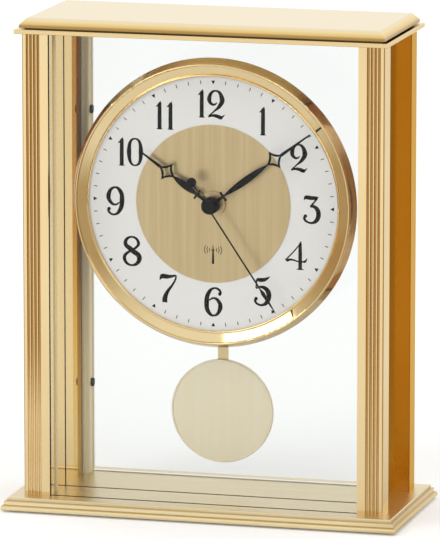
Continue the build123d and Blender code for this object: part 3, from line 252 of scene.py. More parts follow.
def fluteShade(tree, place, flutes):  # painted shade over the drawn flutes and their lands, deepest in the grooves, standing in for their darker reflections; less at the foot, where the bright base would be mirrored
    inside, outside, front, depth = (flutes[key] * mm for key in ("insideMm", "outsideMm", "frontMm", "depthMm"))
    fadeLow, fadeHigh = flutes["fadeMm"]
    spot = addNode(tree, "ShaderNodeSeparateXYZ", links={0: place.outputs["Object"]})
    side = addNode(tree, "ShaderNodeMath", {"operation": "ABSOLUTE"}, links={0: spot.outputs["X"]})
    inZone = addNode(tree, "ShaderNodeMath", {"operation": "COMPARE"},
                     {1: (inside + outside) / 2, 2: (outside - inside) / 2}, {0: side.outputs[0]})
    reach = addNode(tree, "ShaderNodeMath", {"operation": "ABSOLUTE"}, links={0: spot.outputs["Y"]})
    sunk = addNode(tree, "ShaderNodeMapRange", {}, {"From Min": front, "From Max": front - depth,
                                                    "To Min": flutes["landShade"], "To Max": 1.0},
                   {"Value": reach.outputs[0]})
    onFace = addNode(tree, "ShaderNodeMath", {"operation": "GREATER_THAN"}, {1: front - 2 * depth},
                     {0: reach.outputs[0]})
    foot = addNode(tree, "ShaderNodeMapRange", {"interpolation_type": "SMOOTHSTEP"},
                   {"From Min": fadeLow * mm, "From Max": fadeHigh * mm, "To Min": flutes["footShade"], "To Max": 1.0},
                   {"Value": spot.outputs["Z"]})
    shade = inZone.outputs[0]
    for part in (sunk, onFace, foot):
        shade = addNode(tree, "ShaderNodeMath", {"operation": "MULTIPLY"},
                        links={0: shade, 1: part.outputs[0]}).outputs[0]
    return shade


# Buffed and lacquered sheet: mirror gloss, slow drift of colour, faint long buffing lines
def polishedLacqueredBrass(name, flutes=None, flank=None, paintedZones=(), paintedHeightTones=None, grazing=polish["grazing"]):
    material, tree, shader = newMaterial(name)
    place = addNode(tree, "ShaderNodeTexCoord")
    drift = addNode(tree, "ShaderNodeTexNoise", inputs={"Scale": perMetre(polish["driftMm"]), "Detail": 3.0},
                    links={"Vector": place.outputs["Object"]})
    colour = addNode(tree, "ShaderNodeMix", {"data_type": "RGBA"},
                     {colourA: linearColour(polish["deep"]), colourB: linearColour(polish["pale"])},
                     {"Factor": drift.outputs["Fac"]})
    skin = colour.outputs[colourOut]
    if flutes:  # painted shade and reflection in the flutes, darker than the buffed faces
        shadedFlutes = addNode(tree, "ShaderNodeMix", {"data_type": "RGBA"}, {colourB: linearColour(flutes["tone"])},
                         {"Factor": fluteShade(tree, place, flutes), colourA: skin})
        skin = shadedFlutes.outputs[colourOut]
    if paintedHeightTones:  # painted shade at steps and gaps and painted reflection on faces, by height
        stepped = addNode(tree, "ShaderNodeMix", {"data_type": "RGBA"}, {"Factor": polish["stepShare"]},
                          {colourA: heightTone(tree, place, paintedHeightTones), colourB: skin})
        skin = stepped.outputs[colourOut]
    if flank:  # painted darker reflection on the bezel's turned flank, outside its front
        fromAxis = addNode(tree, "ShaderNodeMapping",
                           inputs={"Location": (0, 0, -flank["centreMm"] * mm), "Scale": (1, 0, 1)},
                           links={"Vector": place.outputs["Object"]})
        radius = addNode(tree, "ShaderNodeVectorMath", {"operation": "LENGTH"}, links={0: fromAxis.outputs[0]})
        outer = addNode(tree, "ShaderNodeMapRange", {},
                        {"From Min": flank["innerMm"] * mm, "From Max": flank["outerMm"] * mm},
                        {"Value": radius.outputs["Value"]})
        darker = addNode(tree, "ShaderNodeMix", {"data_type": "RGBA"}, {colourB: linearColour(flank["tone"])},
                         {"Factor": outer.outputs[0], colourA: skin})
        skin = darker.outputs[colourOut]
    lineScale = (perMetre(polish["lineMm"]), perMetre(polish["lineMm"]), perMetre(polish["lineLengthMm"]))
    stretch = addNode(tree, "ShaderNodeMapping", inputs={"Scale": lineScale}, links={"Vector": place.outputs["Object"]})
    buffing = addNode(tree, "ShaderNodeTexNoise", inputs={"Scale": 1.0, "Detail": 2.0},
                      links={"Vector": stretch.outputs[0]})
    gloss = addNode(tree, "ShaderNodeMapRange", inputs={"To Min": polish["gloss"][0], "To Max": polish["gloss"][1]},
                    links={"Value": buffing.outputs["Fac"]})
    dull, metal = gloss.outputs[0], None
    for zone in paintedZones:  # faces with a painted reflection or shade, some of them rougher and less metallic
        spot = addNode(tree, "ShaderNodeSeparateXYZ", links={0: place.outputs["Object"]})
        reach = addNode(tree, "ShaderNodeMath", {"operation": zone.get("fold", "ABSOLUTE")},
                        {1: -1.0} if "fold" in zone else {}, {0: spot.outputs[zone["axis"]]})
        inside = addNode(tree, "ShaderNodeMath", {"operation": zone["side"]}, {1: zone["limitMm"] * mm},
                         {0: reach.outputs[0]})
        toned = addNode(tree, "ShaderNodeMix", {"data_type": "RGBA"},
                        links={"Factor": inside.outputs[0], colourA: skin})
        if "steps" in zone:
            tree.links.new(heightTone(tree, place, zone["steps"]), toned.inputs[colourB])
        else:
            toned.inputs[colourB].default_value = linearColour(zone["tone"])
        skin = toned.outputs[colourOut]
        if "roughness" in zone:
            dull = addNode(tree, "ShaderNodeMath", {"operation": "MULTIPLY_ADD"}, {1: zone["roughness"]},
                           {0: inside.outputs[0], 2: dull}).outputs[0]
            metal = addNode(tree, "ShaderNodeMath", {"operation": "MULTIPLY_ADD"},
                            {1: zone["metallic"] - 1, 2: 1.0}, {0: inside.outputs[0]}).outputs[0]
    tree.links.new(skin, shader.inputs["Base Color"])
    tree.links.new(dull, shader.inputs["Roughness"])
    shader.inputs["Metallic"].default_value = 1.0
    if metal:
        tree.links.new(metal, shader.inputs["Metallic"])
    shader.inputs["Specular Tint"].default_value = linearColour(grazing)  # stays golden at a flat angle
    shader.inputs["Coat Weight"].default_value = polish["coat"]
    shader.inputs["Coat Roughness"].default_value = polish["coatRoughness"]
    return material


# Straight fine brushing along one axis, upright as on the dial; drawn coarser than real so that it shows
def brushedBrass(name, deep, pale, roughness, grainMm, metallic=1.0, along=2, paintedHeightTones=None):
    material, tree, shader = newMaterial(name)
    place = addNode(tree, "ShaderNodeTexCoord")
    fine, broad = [perMetre(grainMm)] * 3, [perMetre(brushing["streakMm"])] * 3
    fine[along], broad[along] = perMetre(brushing["grainLengthMm"]), perMetre(brushing["streakLengthMm"])
    stretch = addNode(tree, "ShaderNodeMapping", inputs={"Scale": fine}, links={"Vector": place.outputs["Object"]})
    grain = addNode(tree, "ShaderNodeTexNoise", inputs={"Scale": 1.0, "Detail": 4.0, "Roughness": 0.6},
                    links={"Vector": stretch.outputs[0]})
    wide = addNode(tree, "ShaderNodeMapping", inputs={"Scale": broad}, links={"Vector": place.outputs["Object"]})
    streaks = addNode(tree, "ShaderNodeTexNoise", inputs={"Scale": 1.0, "Detail": 2.0},
                      links={"Vector": wide.outputs[0]})
    both = addNode(tree, "ShaderNodeMath", {"operation": "ADD"},
                   links={0: grain.outputs["Fac"], 1: streaks.outputs["Fac"]})
    tone = addNode(tree, "ShaderNodeMapRange", inputs={"From Min": 0.5, "From Max": 1.5},
                   links={"Value": both.outputs[0]})
    colour = addNode(tree, "ShaderNodeMix", {"data_type": "RGBA"},
                     {colourA: linearColour(deep), colourB: linearColour(pale)}, {"Factor": tone.outputs[0]})
    skin = colour.outputs[colourOut]
    # painted shade at steps and seams and painted reflection on faces, by height
    if paintedHeightTones:
        stepped = addNode(tree, "ShaderNodeMix", {"data_type": "RGBA"}, {"Factor": brushing["stepShare"]},
                          {colourA: heightTone(tree, place, paintedHeightTones), colourB: skin})
        skin = stepped.outputs[colourOut]
    tree.links.new(skin, shader.inputs["Base Color"])
    bump = addNode(tree, "ShaderNodeBump", inputs={"Strength": brushing["bump"], "Distance": brushing["bumpMm"] * mm},
                   links={"Height": grain.outputs["Fac"]})
    tree.links.new(bump.outputs[0], shader.inputs["Normal"])
    shader.inputs["Metallic"].default_value = metallic
    shader.inputs["Roughness"].default_value = roughness
    return material


def clearFloatGlass():  # polished soda-lime panes, hardly tinted, with a trace of wiping haze
    material, tree, shader = newMaterial("clearFloatGlass")
    place = addNode(tree, "ShaderNodeTexCoord")
    haze = addNode(tree, "ShaderNodeTexNoise", inputs={"Scale": perMetre(paneGlass["hazeMm"]), "Detail": 2.0},
                   links={"Vector": place.outputs["Object"]})
    gloss = addNode(tree, "ShaderNodeMapRange", inputs={"To Min": 0.0, "To Max": paneGlass["haze"]},
                    links={"Value": haze.outputs["Fac"]})
    tree.links.new(gloss.outputs[0], shader.inputs["Roughness"])
    shader.inputs["Base Color"].default_value = linearColour(paneGlass["tint"])
    shader.inputs["Transmission Weight"].default_value = 1.0
    shader.inputs["IOR"].default_value = paneGlass["ior"]
    shader.inputs["Specular Tint"].default_value = linearColour(paneGlass["bloom"])  # bloomed panes mirror little
    rays = addNode(tree, "ShaderNodeLightPath")
    clear = addNode(tree, "ShaderNodeBsdfTransparent", inputs={"Color": linearColour("#ffffff")})  # passes lamp light
    soft = addNode(tree, "ShaderNodeMath", {"operation": "MAXIMUM"},
                   links={0: rays.outputs["Is Shadow Ray"], 1: rays.outputs["Is Diffuse Ray"]})
    mix = addNode(tree, "ShaderNodeMixShader", links={0: soft.outputs[0], 1: shader.outputs[0], 2: clear.outputs[0]})
    tree.links.new(mix.outputs[0], tree.nodes["Material Output"].inputs["Surface"])
    return material


# Fine even texture of a moulded, painted or sintered skin
def speckled(name, deep, pale, grainMm, roughness, metallic=0.0, bumpMm=0.0, sheen=0.5):
    material, tree, shader = newMaterial(name)
    place = addNode(tree, "ShaderNodeTexCoord")
    grain = addNode(tree, "ShaderNodeTexNoise", inputs={"Scale": perMetre(grainMm), "Detail": 5.0},
                    links={"Vector": place.outputs["Object"]})
    colour = addNode(tree, "ShaderNodeMix", {"data_type": "RGBA"},
                     {colourA: linearColour(deep), colourB: linearColour(pale)}, {"Factor": grain.outputs["Fac"]})
    tree.links.new(colour.outputs[colourOut], shader.inputs["Base Color"])
    spread = roughness * speckle["glossSpread"]
    gloss = addNode(tree, "ShaderNodeMapRange", inputs={"To Min": roughness - spread, "To Max": roughness + spread},
                    links={"Value": grain.outputs["Fac"]})
    tree.links.new(gloss.outputs[0], shader.inputs["Roughness"])
    if bumpMm:
        bump = addNode(tree, "ShaderNodeBump", inputs={"Strength": speckle["bump"], "Distance": bumpMm * mm},
                       links={"Height": grain.outputs["Fac"]})
        tree.links.new(bump.outputs[0], shader.inputs["Normal"])
    shader.inputs["Metallic"].default_value = metallic
    shader.inputs["Specular IOR Level"].default_value = sheen
    return material


finishes = {  # by slot
    "polished_brass": polishedLacqueredBrass("polishedLacqueredBrass"),
    "brushed_brass": brushedBrass("brushedLacqueredBrass", "#c6ae80", "#dfcaa0", 0.36, 0.3),
    "clear_glass": clearFloatGlass(),
    "silver_dial": speckled("silveredDialSheet", "#e4e3e0", "#f0efed", 0.5, 0.42, 0.15),
    "black_lacquer": speckled("blackStovedLacquer", "#040404", "#0a0a0b", 0.8, 0.32, sheen=0.12),
    "black_plastic": speckled("blackMouldedAbs", "#0c0c0d", "#19191a", 0.35, 0.5, 0.0, 0.006),
    "white_plastic": speckled("whiteMouldedAcetal", "#dfded8", "#ecebe6", 1.5, 0.4),
    "steel": speckled("turnedBrightSteel", "#a3a3a6", "#c2c2c4", 0.6, 0.25, 1.0),
    "copper_wire": speckled("enamelledCopperWire", "#8a4522", "#b8683a", 0.15, 0.3, 1.0, 0.05),
    "ferrite": speckled("sinteredFerrite", "#161616", "#2a2928", 0.4, 0.7, 0.0, 0.03),
    "board_resin": speckled("greenBoardResin", "#0d4a22", "#1b6a35", 1.2, 0.3),
    "cell_sleeve": speckled("printedCellSleeve", "#20242c", "#2c313b", 2.0, 0.3),
    "nickel_strip": speckled("nickelPlatedSpringSteel", "#b5b3ad", "#cbc9c3", 0.7, 0.22, 1.0),
    "black_rubber": speckled("mouldedBlackRubber", "#0b0b0b", "#181818", 0.6, 0.7, 0.0, 0.03),
    "base_felt": speckled("needledGreenFelt", "#12281a", "#24442e", 0.4, 0.95, 0.0, 0.15),
}
for part in frame["record"]["subparts"]:
    node = nodes[part["node"]]
    node.data.materials.clear()
    node.data.materials.append(finishes[part["material_slot"]])

# Painted reflections and shade on the brass by its place in the case: zones and steps in mm
# rear columns: a pale painted reflection on the inner faces, made partly diffuse, and a darker painted reflection on
# the outer sides
rearZones = [
    {"axis": "X", "side": "LESS_THAN", "limitMm": 82.0, "tone": "#fff0c6", "roughness": 0.36, "metallic": 0.3},
    {"axis": "X", "side": "GREATER_THAN", "limitMm": 96.2, "tone": "#cba24c"},
]
# side panels: painted reflections by height and by face, orange on the outer face, and painted shade in the joint by
# the rear column
panelReflectionSteps = [(20, "#f6dcb8"), (90, "#e2b080"), (140, "#bf7a42"), (250, "#b06a32")]
panelZones = [
    {"axis": "X", "side": "LESS_THAN", "limitMm": 82.6, "tone": "#ffeade"},
    {"axis": "Y", "fold": "MULTIPLY", "side": "GREATER_THAN", "limitMm": 22.75, "tone": "#fdf0cc",
     "roughness": 0.4, "metallic": 0.05},
    {"axis": "Y", "fold": "MULTIPLY", "side": "LESS_THAN", "limitMm": -7.0, "steps": panelReflectionSteps},
    {"axis": "Y", "fold": "MULTIPLY", "side": "LESS_THAN", "limitMm": -22.38, "tone": "#33230a"},
    {"axis": "X", "side": "GREATER_THAN", "limitMm": 86.6, "tone": "#c28e18"},
]
# cap rim: painted shade on its top in the gap under the upper plate, and a paler painted reflection on the rear and
# right edges
capRimZones = [
    {"axis": "Z", "side": "GREATER_THAN", "limitMm": 254.2, "tone": "#2a1b08"},
    {"axis": "Y", "side": "GREATER_THAN", "limitMm": 38.1, "tone": "#ead09a"},
    {"axis": "X", "side": "GREATER_THAN", "limitMm": 97.25, "tone": "#ead09a"},
]
# base tiers: painted shade at the seams between tiers and a pale painted reflection on their faces
baseSteps = [(0.8, "#957536"), (1.2, "#dcc083"), (1.6, "#f8e8bc"), (3.0, "#faeac0"), (3.4, "#c7a562"),
             (3.9, "#bf9d58"), (4.2, "#fcedc4"), (5.4, "#fdefc8"), (5.8, "#c9a96a"), (6.2, "#c0a062"),
             (6.5, "#fbeecb"), (7.8, "#fbf0d4")]
# cap top plate: painted shade in the gap at its foot, and a painted reflection that pales up the bevel to the top
capSteps = [(254.3, "#1c1206"), (255.0, "#2a1b08"), (255.15, "#9a7430"), (256.3, "#ad8640"), (257.0, "#e2bf72"),
            (258.6, "#f2dca6"), (259.7, "#f0e3c4"), (260.0, "#efe4cc")]
# painted reflections and shade on the rear columns and side panels, by zone
rearBrass = polishedLacqueredBrass("drawnRearColumnBrass", fluteZone, paintedZones=rearZones, grazing="#ffdf9c")
panelBrass = polishedLacqueredBrass("buffedPanelBrass", paintedZones=panelZones, grazing="#f4dc78")
steppedBrass = brushedBrass("brushedSteppedBrass", "#e6d09c", "#fcecc4", 0.24, 0.3, 1.0, 0, baseSteps)
ownFinishes = {
    "pendulum_bob": brushedBrass("satinSpunBrass", "#fbecca", "#fff6dc", 0.3, 0.25, 0.7),
    "pendulum_rod": brushedBrass("drawnFlatBrass", "#ecd298", "#f8e4b6", 0.3, 0.3, 0.85),
    "bush_nut": finishes["brushed_brass"],
    "bezel": polishedLacqueredBrass("turnedBezelBrass", flank=bezelFlank),
    "front_column_left": polishedLacqueredBrass("drawnFlutedBrassLeft", fluteZone),
    "front_column_right": polishedLacqueredBrass("drawnFlutedBrassRight", rightFlutes),
    "rear_column_left": rearBrass,
    "rear_column_right": rearBrass,
    "side_panel_left": panelBrass,
    "side_panel_right": panelBrass,
    "base_slab": steppedBrass,
    "base_middle_plate": steppedBrass,
    "base_top_plate": brushedBrass("brushedBasePlateBrass", "#e0cda0", "#efe0bc", 0.34, 0.3, 1.0, 0),
    "cap_upper_plate": polishedLacqueredBrass("buffedCapBrass", paintedHeightTones=capSteps),
    "cap_lower_plate": polishedLacqueredBrass("buffedCapRimBrass", paintedZones=capRimZones),
}
for name, finish in ownFinishes.items():
    nodes[name].data.materials[0] = finish
print("finishes on all nodes")

# Dial print: upright numerals drawn as pen strokes
dialPrint = {"centreHeightMm": 163.0, "ringFrontMm": -12.3, "discFrontMm": -12.6, "inkMm": 0.03, "penWeight": 1.28,
             "penReach": 9, "numeralRadiusMm": 52.9, "numeralHeightMm": 14.4, "tickRadiusMm": 63.9,
             "tickLengthMm": 1.9, "tickWidthMm": 0.42, "arrowRadiusMm": 63.9, "arrowSizeMm": 1.15,
             "arrowShape": ((-0.9, 0.1), (-0.2, 0.45), (0.5, 0.8), (0.7, 0.82))}
numeralPlace = {  # right and up from the even circle in mm, and height
    "1": (0, -1.2, 1.03), "2": (0, -0.1, 1.0), "3": (0, -0.7, 1.02), "4": (-1.3, 1.5, 1.05),
    "5": (0.1, 1.2, 1.1), "6": (0.1, 1.2, 1.06), "7": (2.1, 0, 1.06), "8": (2.0, -0.5, 1.1),
    "9": (0, -0.8, 1.05), "10": (1.2, -1.0, 1.03), "11": (0.3, -0.4, 1.02), "12": (-1.0, -0.4, 1.02),
}
numerals = {  # points (x, y, half width) in hundredths of the numeral's height
    "1": {"width": 25, "pen": [
        [(14, 1, 5.6), (14, 50, 5.6), (14.5, 93, 5.2)],
        [(0, 81, 0.6), (9, 85, 3.4), (16, 94, 3.4), (18, 100, 0.8)],
        [(3, 1, 0.8), (14, 2, 2.6), (25, 1, 0.8)]]},
    "2": {"width": 64, "pen": [
        [(35, 56, 0.9), (29, 49.5, 2.4), (18, 48, 3.6), (6.5, 67, 6.2), (30, 97, 2.4), (53.5, 67, 7.2),
         (45, 44, 5.4), (26, 25, 2.4), (6, 8, 1.4)],
        [(3, 4, 2.6), (18, 8.4, 3.6), (35, 6.6, 5.2), (50, 1, 5.4)],
        [(47, 0, 5.4), (57, 7, 2.2), (63, 13, 0.6)]]},
    "3": {"width": 65, "ball": [(10.5, 26.5, 6.3)], "pen": [
        [(5, 84, 0.6), (12, 92.5, 5.8), (30, 92, 5.8), (48, 93, 4.8), (58, 96, 1.0)],
        [(53, 92, 2.8), (42, 77, 2.4), (30, 62, 3.0)],
        [(27, 61.5, 2.6), (40, 62, 4.4), (53, 52, 6.2), (58, 34, 6.8), (51, 13, 6.0), (36, 3.4, 3.4),
         (20, 5, 2.8), (8, 14, 3.6), (6, 25, 3.6)]]},
    "4": {"width": 79, "pen": [
        [(57.5, 100, 0.6), (54.5, 88, 4.2), (54, 60, 5.0), (54, 1, 5.0)],
        [(41, 1, 0.8), (54, 2, 2.6), (67, 1, 0.8)],
        [(55, 92, 1.6), (30, 61, 1.8), (6, 36, 1.8)],
        [(1, 35.5, 1.0), (8, 31.5, 4.0), (18, 34, 2.8), (30, 33, 2.4), (46, 28.6, 1.8), (62, 28, 2.2),
         (71, 29.5, 3.4), (76, 36, 1.6), (78, 42, 0.6)]]},
    "5": {"width": 59, "ball": [(8.8, 23, 6.0)], "pen": [
        [(11, 88, 3.4), (22, 86, 5.4), (36, 87.5, 5.0), (48, 93, 2.8), (56, 99, 0.7)],
        [(11, 88, 2.2), (9, 58, 1.9)],
        [(9, 57, 1.6), (22, 62.5, 3.0), (38, 60, 5.0), (50, 47, 6.4), (52, 31, 6.6), (45, 12, 5.4),
         (31, 3, 3.2), (17, 4, 2.8), (7, 12, 3.2), (5, 21, 3.4)]]},
    "6": {"width": 63, "ball": [(53.5, 78, 6.2)], "pen": [
        [(58, 80, 3.4), (51, 92, 3.2), (33, 97.4, 2.6), (15, 82, 5.4), (7, 47, 6.8), (13, 15, 5.6),
         (33, 2.4, 2.6), (55, 30, 6.4), (48, 54, 4.8), (32, 63, 2.8), (16, 55, 2.0)]]},
    "7": {"width": 61, "pen": [
        [(0, 78, 0.6), (9, 91, 6.6), (25, 91, 6.2), (41, 92.4, 4.0), (58, 97, 2.2)],
        [(58, 96.5, 2.3), (57, 86, 2.5), (46, 64, 2.8), (28, 39, 4.6), (19, 17, 6.8), (18, 1, 7.2)]]},
    "8": {"width": 66, "loop": [
        [(32, 97.4, 2.4), (10, 77, 5.2), (30, 55, 6.6), (58, 27, 6.6), (32, 2.6, 2.6), (6.5, 26, 4.8),
         (27, 51, 3.0), (46, 62, 3.2), (55, 78, 4.2)]]},
    "9": {"width": 63, "ball": [(9.5, 22, 6.2)], "pen": [
        [(5, 20, 3.4), (12, 8, 3.2), (30, 2.6, 2.8), (48, 18, 5.4), (56, 53, 6.8), (50, 85, 5.6),
         (30, 97.6, 2.6), (8, 70, 6.4), (15, 46, 4.8), (31, 37, 2.8), (47, 45, 2.0)]]},
    "0": {"width": 57, "loop": [
        [(28.5, 97.6, 2.2), (7, 50, 6.6), (28.5, 2.4, 2.2), (50, 50, 6.6)]]},
}
numeralGap = {"10": 9, "11": 15, "12": 10}
inkPen = {"curveSteps": 7, "roundSteps": 1, "weldShare": 0.001, "numeralMiddle": 50}


def selectOnly(pieces):  # the first one is active
    bpy.ops.object.select_all(action="DESELECT")
    for piece in pieces:
        piece.select_set(True)
    bpy.context.view_layer.objects.active = pieces[0]


def addStroke(curve, points, left=0, closed=False, weight=1.0, handle="AUTO"):
    spline = curve.splines.new("BEZIER")
    spline.bezier_points.add(len(points) - 1)
    spline.use_cyclic_u = closed
    for point, (x, y, half) in zip(spline.bezier_points, points):
        point.co = (left + x, y, 0)
        point.radius = half * weight
        point.handle_left_type = point.handle_right_type = handle


def newInk(name):  # round pen on a curve, to be pressed flat
    curve = bpy.data.curves.new(name, "CURVE")
    curve.dimensions = "3D"
    curve.resolution_u = inkPen["curveSteps"]
    curve.bevel_depth = 1.0
    curve.bevel_resolution = inkPen["roundSteps"]
    curve.use_fill_caps = True
    return curve


def pressFlat(curve, unit, widest, centred, thickMm):  # mesh of the strokes in X and Y, as thick as ink or a rib
    piece = bpy.data.objects.new(curve.name, curve)
    bpy.context.scene.collection.objects.link(piece)
    selectOnly([piece])
    bpy.ops.object.convert(target="MESH")
    piece = bpy.context.object
    xs = [vertex.co.x for vertex in piece.data.vertices]
    middle = (min(xs) + max(xs)) / 2
    bpy.ops.object.mode_set(mode="EDIT")
    bpy.ops.mesh.select_all(action="SELECT")
    bpy.ops.mesh.remove_doubles(threshold=inkPen["weldShare"] * widest)
    if centred:
        bpy.ops.transform.translate(value=(-middle, -inkPen["numeralMiddle"], 0))
    bpy.ops.transform.resize(value=(unit, unit, thickMm * mm / widest), center_override=(0, 0, 0))
    bpy.ops.mesh.normals_make_consistent(inside=False)
    bpy.ops.object.mode_set(mode="OBJECT")
    return piece


def drawNumeral(digits, height):  # one hour numeral as raised ink, flat in X and Y, its middle at the origin
    curve = newInk("numeral" + digits)
    left = 0
    for digit in digits:
        shape = numerals[digit]
        for points in shape.get("pen", []):
            addStroke(curve, points, left, False, dialPrint["penWeight"])
        for points in shape.get("loop", []):
            addStroke(curve, points, left, True, dialPrint["penWeight"])
        for x, y, size in shape.get("ball", []):
            half = size / 2
            ball = [(x + half, y, half), (x, y + half, half), (x - half, y, half), (x, y - half, half)]
            addStroke(curve, ball, left, True)
        left += shape["width"] + numeralGap.get(digits, 0)
    unit = height * dialPrint["numeralHeightMm"] / 100 * mm
    return pressFlat(curve, unit, dialPrint["penReach"], True, dialPrint["inkMm"])


def standUp(piece, plane, x=0.0, z=0.0, back=False):  # from flat to upright, x and z from the hands' axis
    piece.rotation_euler = (math.pi / 2, 0, math.pi if back else 0)
    proud = dialPrint["inkMm"] / 2 * (1 if back else -1)
    piece.location = (x * mm, (plane + proud) * mm, (dialPrint["centreHeightMm"] + z) * mm)
    selectOnly([piece])
    bpy.ops.object.transform_apply(location=True, rotation=True, scale=True)


def finishPiece(pieces, name, body, material):  # joined, named and fixed to its body
    selectOnly(pieces)
    if len(pieces) > 1:
        bpy.ops.object.join()
    piece = bpy.context.object
    piece.name = name
    piece.data.name = name
    piece.data.materials.clear()
    piece.data.materials.append(material)
    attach(piece, body)


def finishPrint(curve, name, plane, slot, body="case", back=False, widest=1.0, thickMm=dialPrint["inkMm"]):
    piece = pressFlat(curve, mm, widest, False, thickMm)
    standUp(piece, plane, back=back)
    finishPiece([piece], name, body, finishes[slot])


def onCircle(radius, minute):  # place on the dial in mm, clockwise from twelve
    angle = math.radians(6 * minute)  # six degrees to a minute
    return radius * math.sin(angle), radius * math.cos(angle)


hourPieces = []
for hour in range(1, 13):
    right, up, height = numeralPlace[str(hour)]
    x, z = onCircle(dialPrint["numeralRadiusMm"], 5 * hour)
    piece = drawNumeral(str(hour), height)
    standUp(piece, dialPrint["ringFrontMm"], x + right, z + up)
    hourPieces.append(piece)
finishPiece(hourPieces, "dialNumerals", "case", finishes["black_lacquer"])
print("numerals printed")

ticks = newInk("minuteMarks")
halfTick, halfLine, arrowSize = dialPrint["tickLengthMm"] / 2, dialPrint["tickWidthMm"] / 2, dialPrint["arrowSizeMm"]
for minute in range(60):
    if minute % 5:
        ends = [onCircle(dialPrint["tickRadiusMm"] + step, minute) + (halfLine,) for step in (-halfTick, 0, halfTick)]
    else:  # a small arrow head that points to the middle
        ends = [onCircle(dialPrint["arrowRadiusMm"] + step * arrowSize, minute) + (width * arrowSize,)
                for step, width in dialPrint["arrowShape"]]
    addStroke(ticks, ends)
finishPrint(ticks, "dialMinuteMarks", dialPrint["ringFrontMm"], "black_lacquer")
print("minute marks printed")

# Sign for radio setting on the disc: a mast with waves at both sides, (x, z, half width) in mm from the hands' axis
mastSign = {"mast": [(0, -31.6, 0.62), (0, -27.0, 0.5), (0, -21.6, 0.16)], "knob": [(0, -24.6, 0.9), (0, -24.0, 0.9)],
            "waves": [(2.0, 0.9), (3.3, 1.6), (4.7, 2.3)], "waveLine": 0.17, "waveHeight": -24.2, "waveBow": 0.3}
mast = newInk("mastSign")
addStroke(mast, mastSign["mast"])
addStroke(mast, mastSign["knob"])
for side in (-1, 1):
    for out, rise in mastSign["waves"]:
        end = side * (out - mastSign["waveBow"] * rise)
        wave = [(end, rise), (side * out, 0), (end, -rise)]
        addStroke(mast, [(x, mastSign["waveHeight"] + z, mastSign["waveLine"]) for x, z in wave])
finishPrint(mast, "dialMastSign", dialPrint["discFrontMm"], "black_lacquer")
print("radio sign printed")

# Moulding and print on the movement's back, in mm from the hands' axis as seen from behind
housingBack = {
    "planeMm": 15.0, "ribMm": 0.5, "ribThickMm": 0.45, "frame": (28.6, 12.6, -44.0), "frameCorner": 2.4,
    "lineMm": 0.3, "signs": (21.5, 9.6, 1.5), "buttons": ((13, -24), (22, -24)), "buttonRing": 3.3,
    "knob": (18.84, -8.84), "arrowRadius": 8.0, "arrowFrom": 30, "arrowTo": 135, "arrowPoints": 9, "headMm": 1.8,
    "screwPlaneMm": 15.9, "screws": ((27.8, 29.8), (27.8, -42.8)), "screwCross": 0.95, "crossLine": 0.24,
}


def ringPoints(middle, radius, start, end, count, half):  # points on an arc, angles in degrees
    steps = [math.radians(start + (end - start) * step / (count - 1)) for step in range(count)]
    return [(middle[0] + radius * math.cos(angle), middle[1] + radius * math.sin(angle), half) for angle in steps]


def addLine(curve, ends, half):  # straight from end to end
    addStroke(curve, [(x, z, half) for x, z in ends], handle="VECTOR")


moulding = newInk("housingMoulding")
rib, cut = housingBack["ribMm"], housingBack["frameCorner"]
reach, top, low = housingBack["frame"]
corners = [(reach, top - cut), (reach - cut, top), (cut - reach, top), (-reach, top - cut),
           (-reach, low + cut), (cut - reach, low), (reach - cut, low), (reach, low + cut)]
addStroke(moulding, [(x, z, rib) for x, z in corners], closed=True, handle="VECTOR")
finishPrint(moulding, "housingMoulding", housingBack["planeMm"], "black_plastic", back=True,
            widest=rib, thickMm=housingBack["ribThickMm"])

signs = newInk("housingSigns")  # plus, minus, a ring round each push and the setting arrow, pad printed
line, head = housingBack["lineMm"], housingBack["headMm"]
signX, signTop, arm = housingBack["signs"]
signZ = signTop - arm
for x in (-signX, signX):  # plus on the left as seen from behind, minus on the right
    addLine(signs, [(x - arm, signZ), (x + arm, signZ)], line)
addLine(signs, [(-signX, signZ - arm), (-signX, signZ + arm)], line)
for place in housingBack["buttons"]:  # twelve points, and the loop closes itself
    addStroke(signs, ringPoints(place, housingBack["buttonRing"], 0, 330, 12, line), closed=True)
bow = ringPoints(housingBack["knob"], housingBack["arrowRadius"], housingBack["arrowFrom"], housingBack["arrowTo"],
                 housingBack["arrowPoints"], line)
addStroke(signs, bow)
tipX, tipZ, tipHalf = bow[-1]
addLine(signs, [(tipX, tipZ + head), (tipX, tipZ), (tipX + head, tipZ)], tipHalf)
finishPrint(signs, "housingSigns", housingBack["planeMm"], "white_plastic", back=True)

# painted shade: black crosses stand in for the shaded cross recesses of the screw heads
crosses = newInk("screwRecessShade")
arm, half = housingBack["screwCross"], housingBack["crossLine"]
for side in (-1, 1):
    for out, z in housingBack["screws"]:
        x = side * out
        addLine(crosses, [(x - arm, z), (x + arm, z)], half)
        addLine(crosses, [(x, z - arm), (x, z + arm)], half)
finishPrint(crosses, "screwRecessShade", housingBack["screwPlaneMm"], "black_lacquer", back=True)
print("housing moulded")

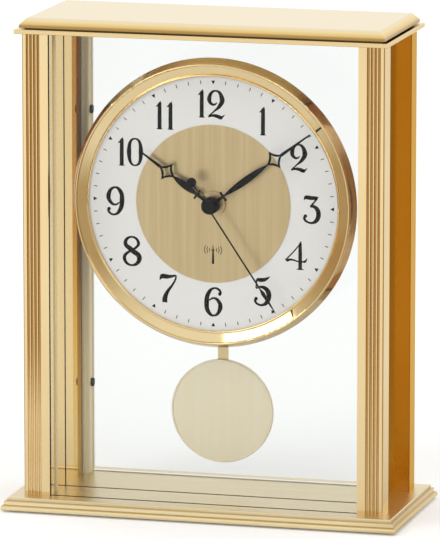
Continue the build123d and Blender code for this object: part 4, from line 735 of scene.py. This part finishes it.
# Arrow printed on the setting knob
knobFace = {"planeMm": 19.3, "arcRadius": 3.6, "arcFrom": 20, "arcTo": 200, "arcPoints": 9,
            "lineMm": 0.36, "headMm": 1.3}
mark = newInk("setKnobMark")
bow = ringPoints(housingBack["knob"], knobFace["arcRadius"], knobFace["arcFrom"], knobFace["arcTo"],
                 knobFace["arcPoints"], knobFace["lineMm"])
addStroke(mark, bow)
tipX, tipZ, tipHalf = bow[-1]
head = knobFace["headMm"]
addLine(mark, [(tipX - head, tipZ + head), (tipX, tipZ - tipHalf), (tipX + head, tipZ + head)], tipHalf)
finishPrint(mark, "setKnobMark", knobFace["planeMm"], "black_lacquer", "setting_train", back=True)
print("knob arrow printed")

# Foil band printed round the cell's positive end
cellBand = {"axisMm": (7.5, 186.3), "radiusMm": 7.26, "fromMm": 11.5, "toMm": 22.5, "foilMm": 0.02, "sides": 64,
            "smoothDegrees": 30}
bandStart, bandEnd = cellBand["fromMm"], cellBand["toMm"]
cellY, cellZ = cellBand["axisMm"]
bpy.ops.object.select_all(action="DESELECT")
bpy.ops.mesh.primitive_cylinder_add(vertices=cellBand["sides"], radius=cellBand["radiusMm"] * mm,
                                    depth=(bandEnd - bandStart) * mm, end_fill_type="NOTHING")
band = bpy.context.object
bpy.ops.object.mode_set(mode="EDIT")
bpy.ops.mesh.select_all(action="SELECT")
bpy.ops.mesh.solidify(thickness=-cellBand["foilMm"] * mm)
bpy.ops.mesh.select_all(action="SELECT")
bpy.ops.transform.rotate(value=math.pi / 2, orient_axis="Y", center_override=(0, 0, 0))
bpy.ops.transform.translate(value=((bandStart + bandEnd) / 2 * mm, cellY * mm, cellZ * mm))
bpy.ops.mesh.normals_make_consistent(inside=False)
bpy.ops.object.mode_set(mode="OBJECT")
bpy.ops.object.shade_smooth_by_angle(angle=math.radians(cellBand["smoothDegrees"]))
foil = speckled("printedCopperFoil", "#a8662c", "#c9854a", 0.6, 0.28, 0.9)
finishPiece([band], "cellFoilBand", "case", foil)
print("cell band printed")
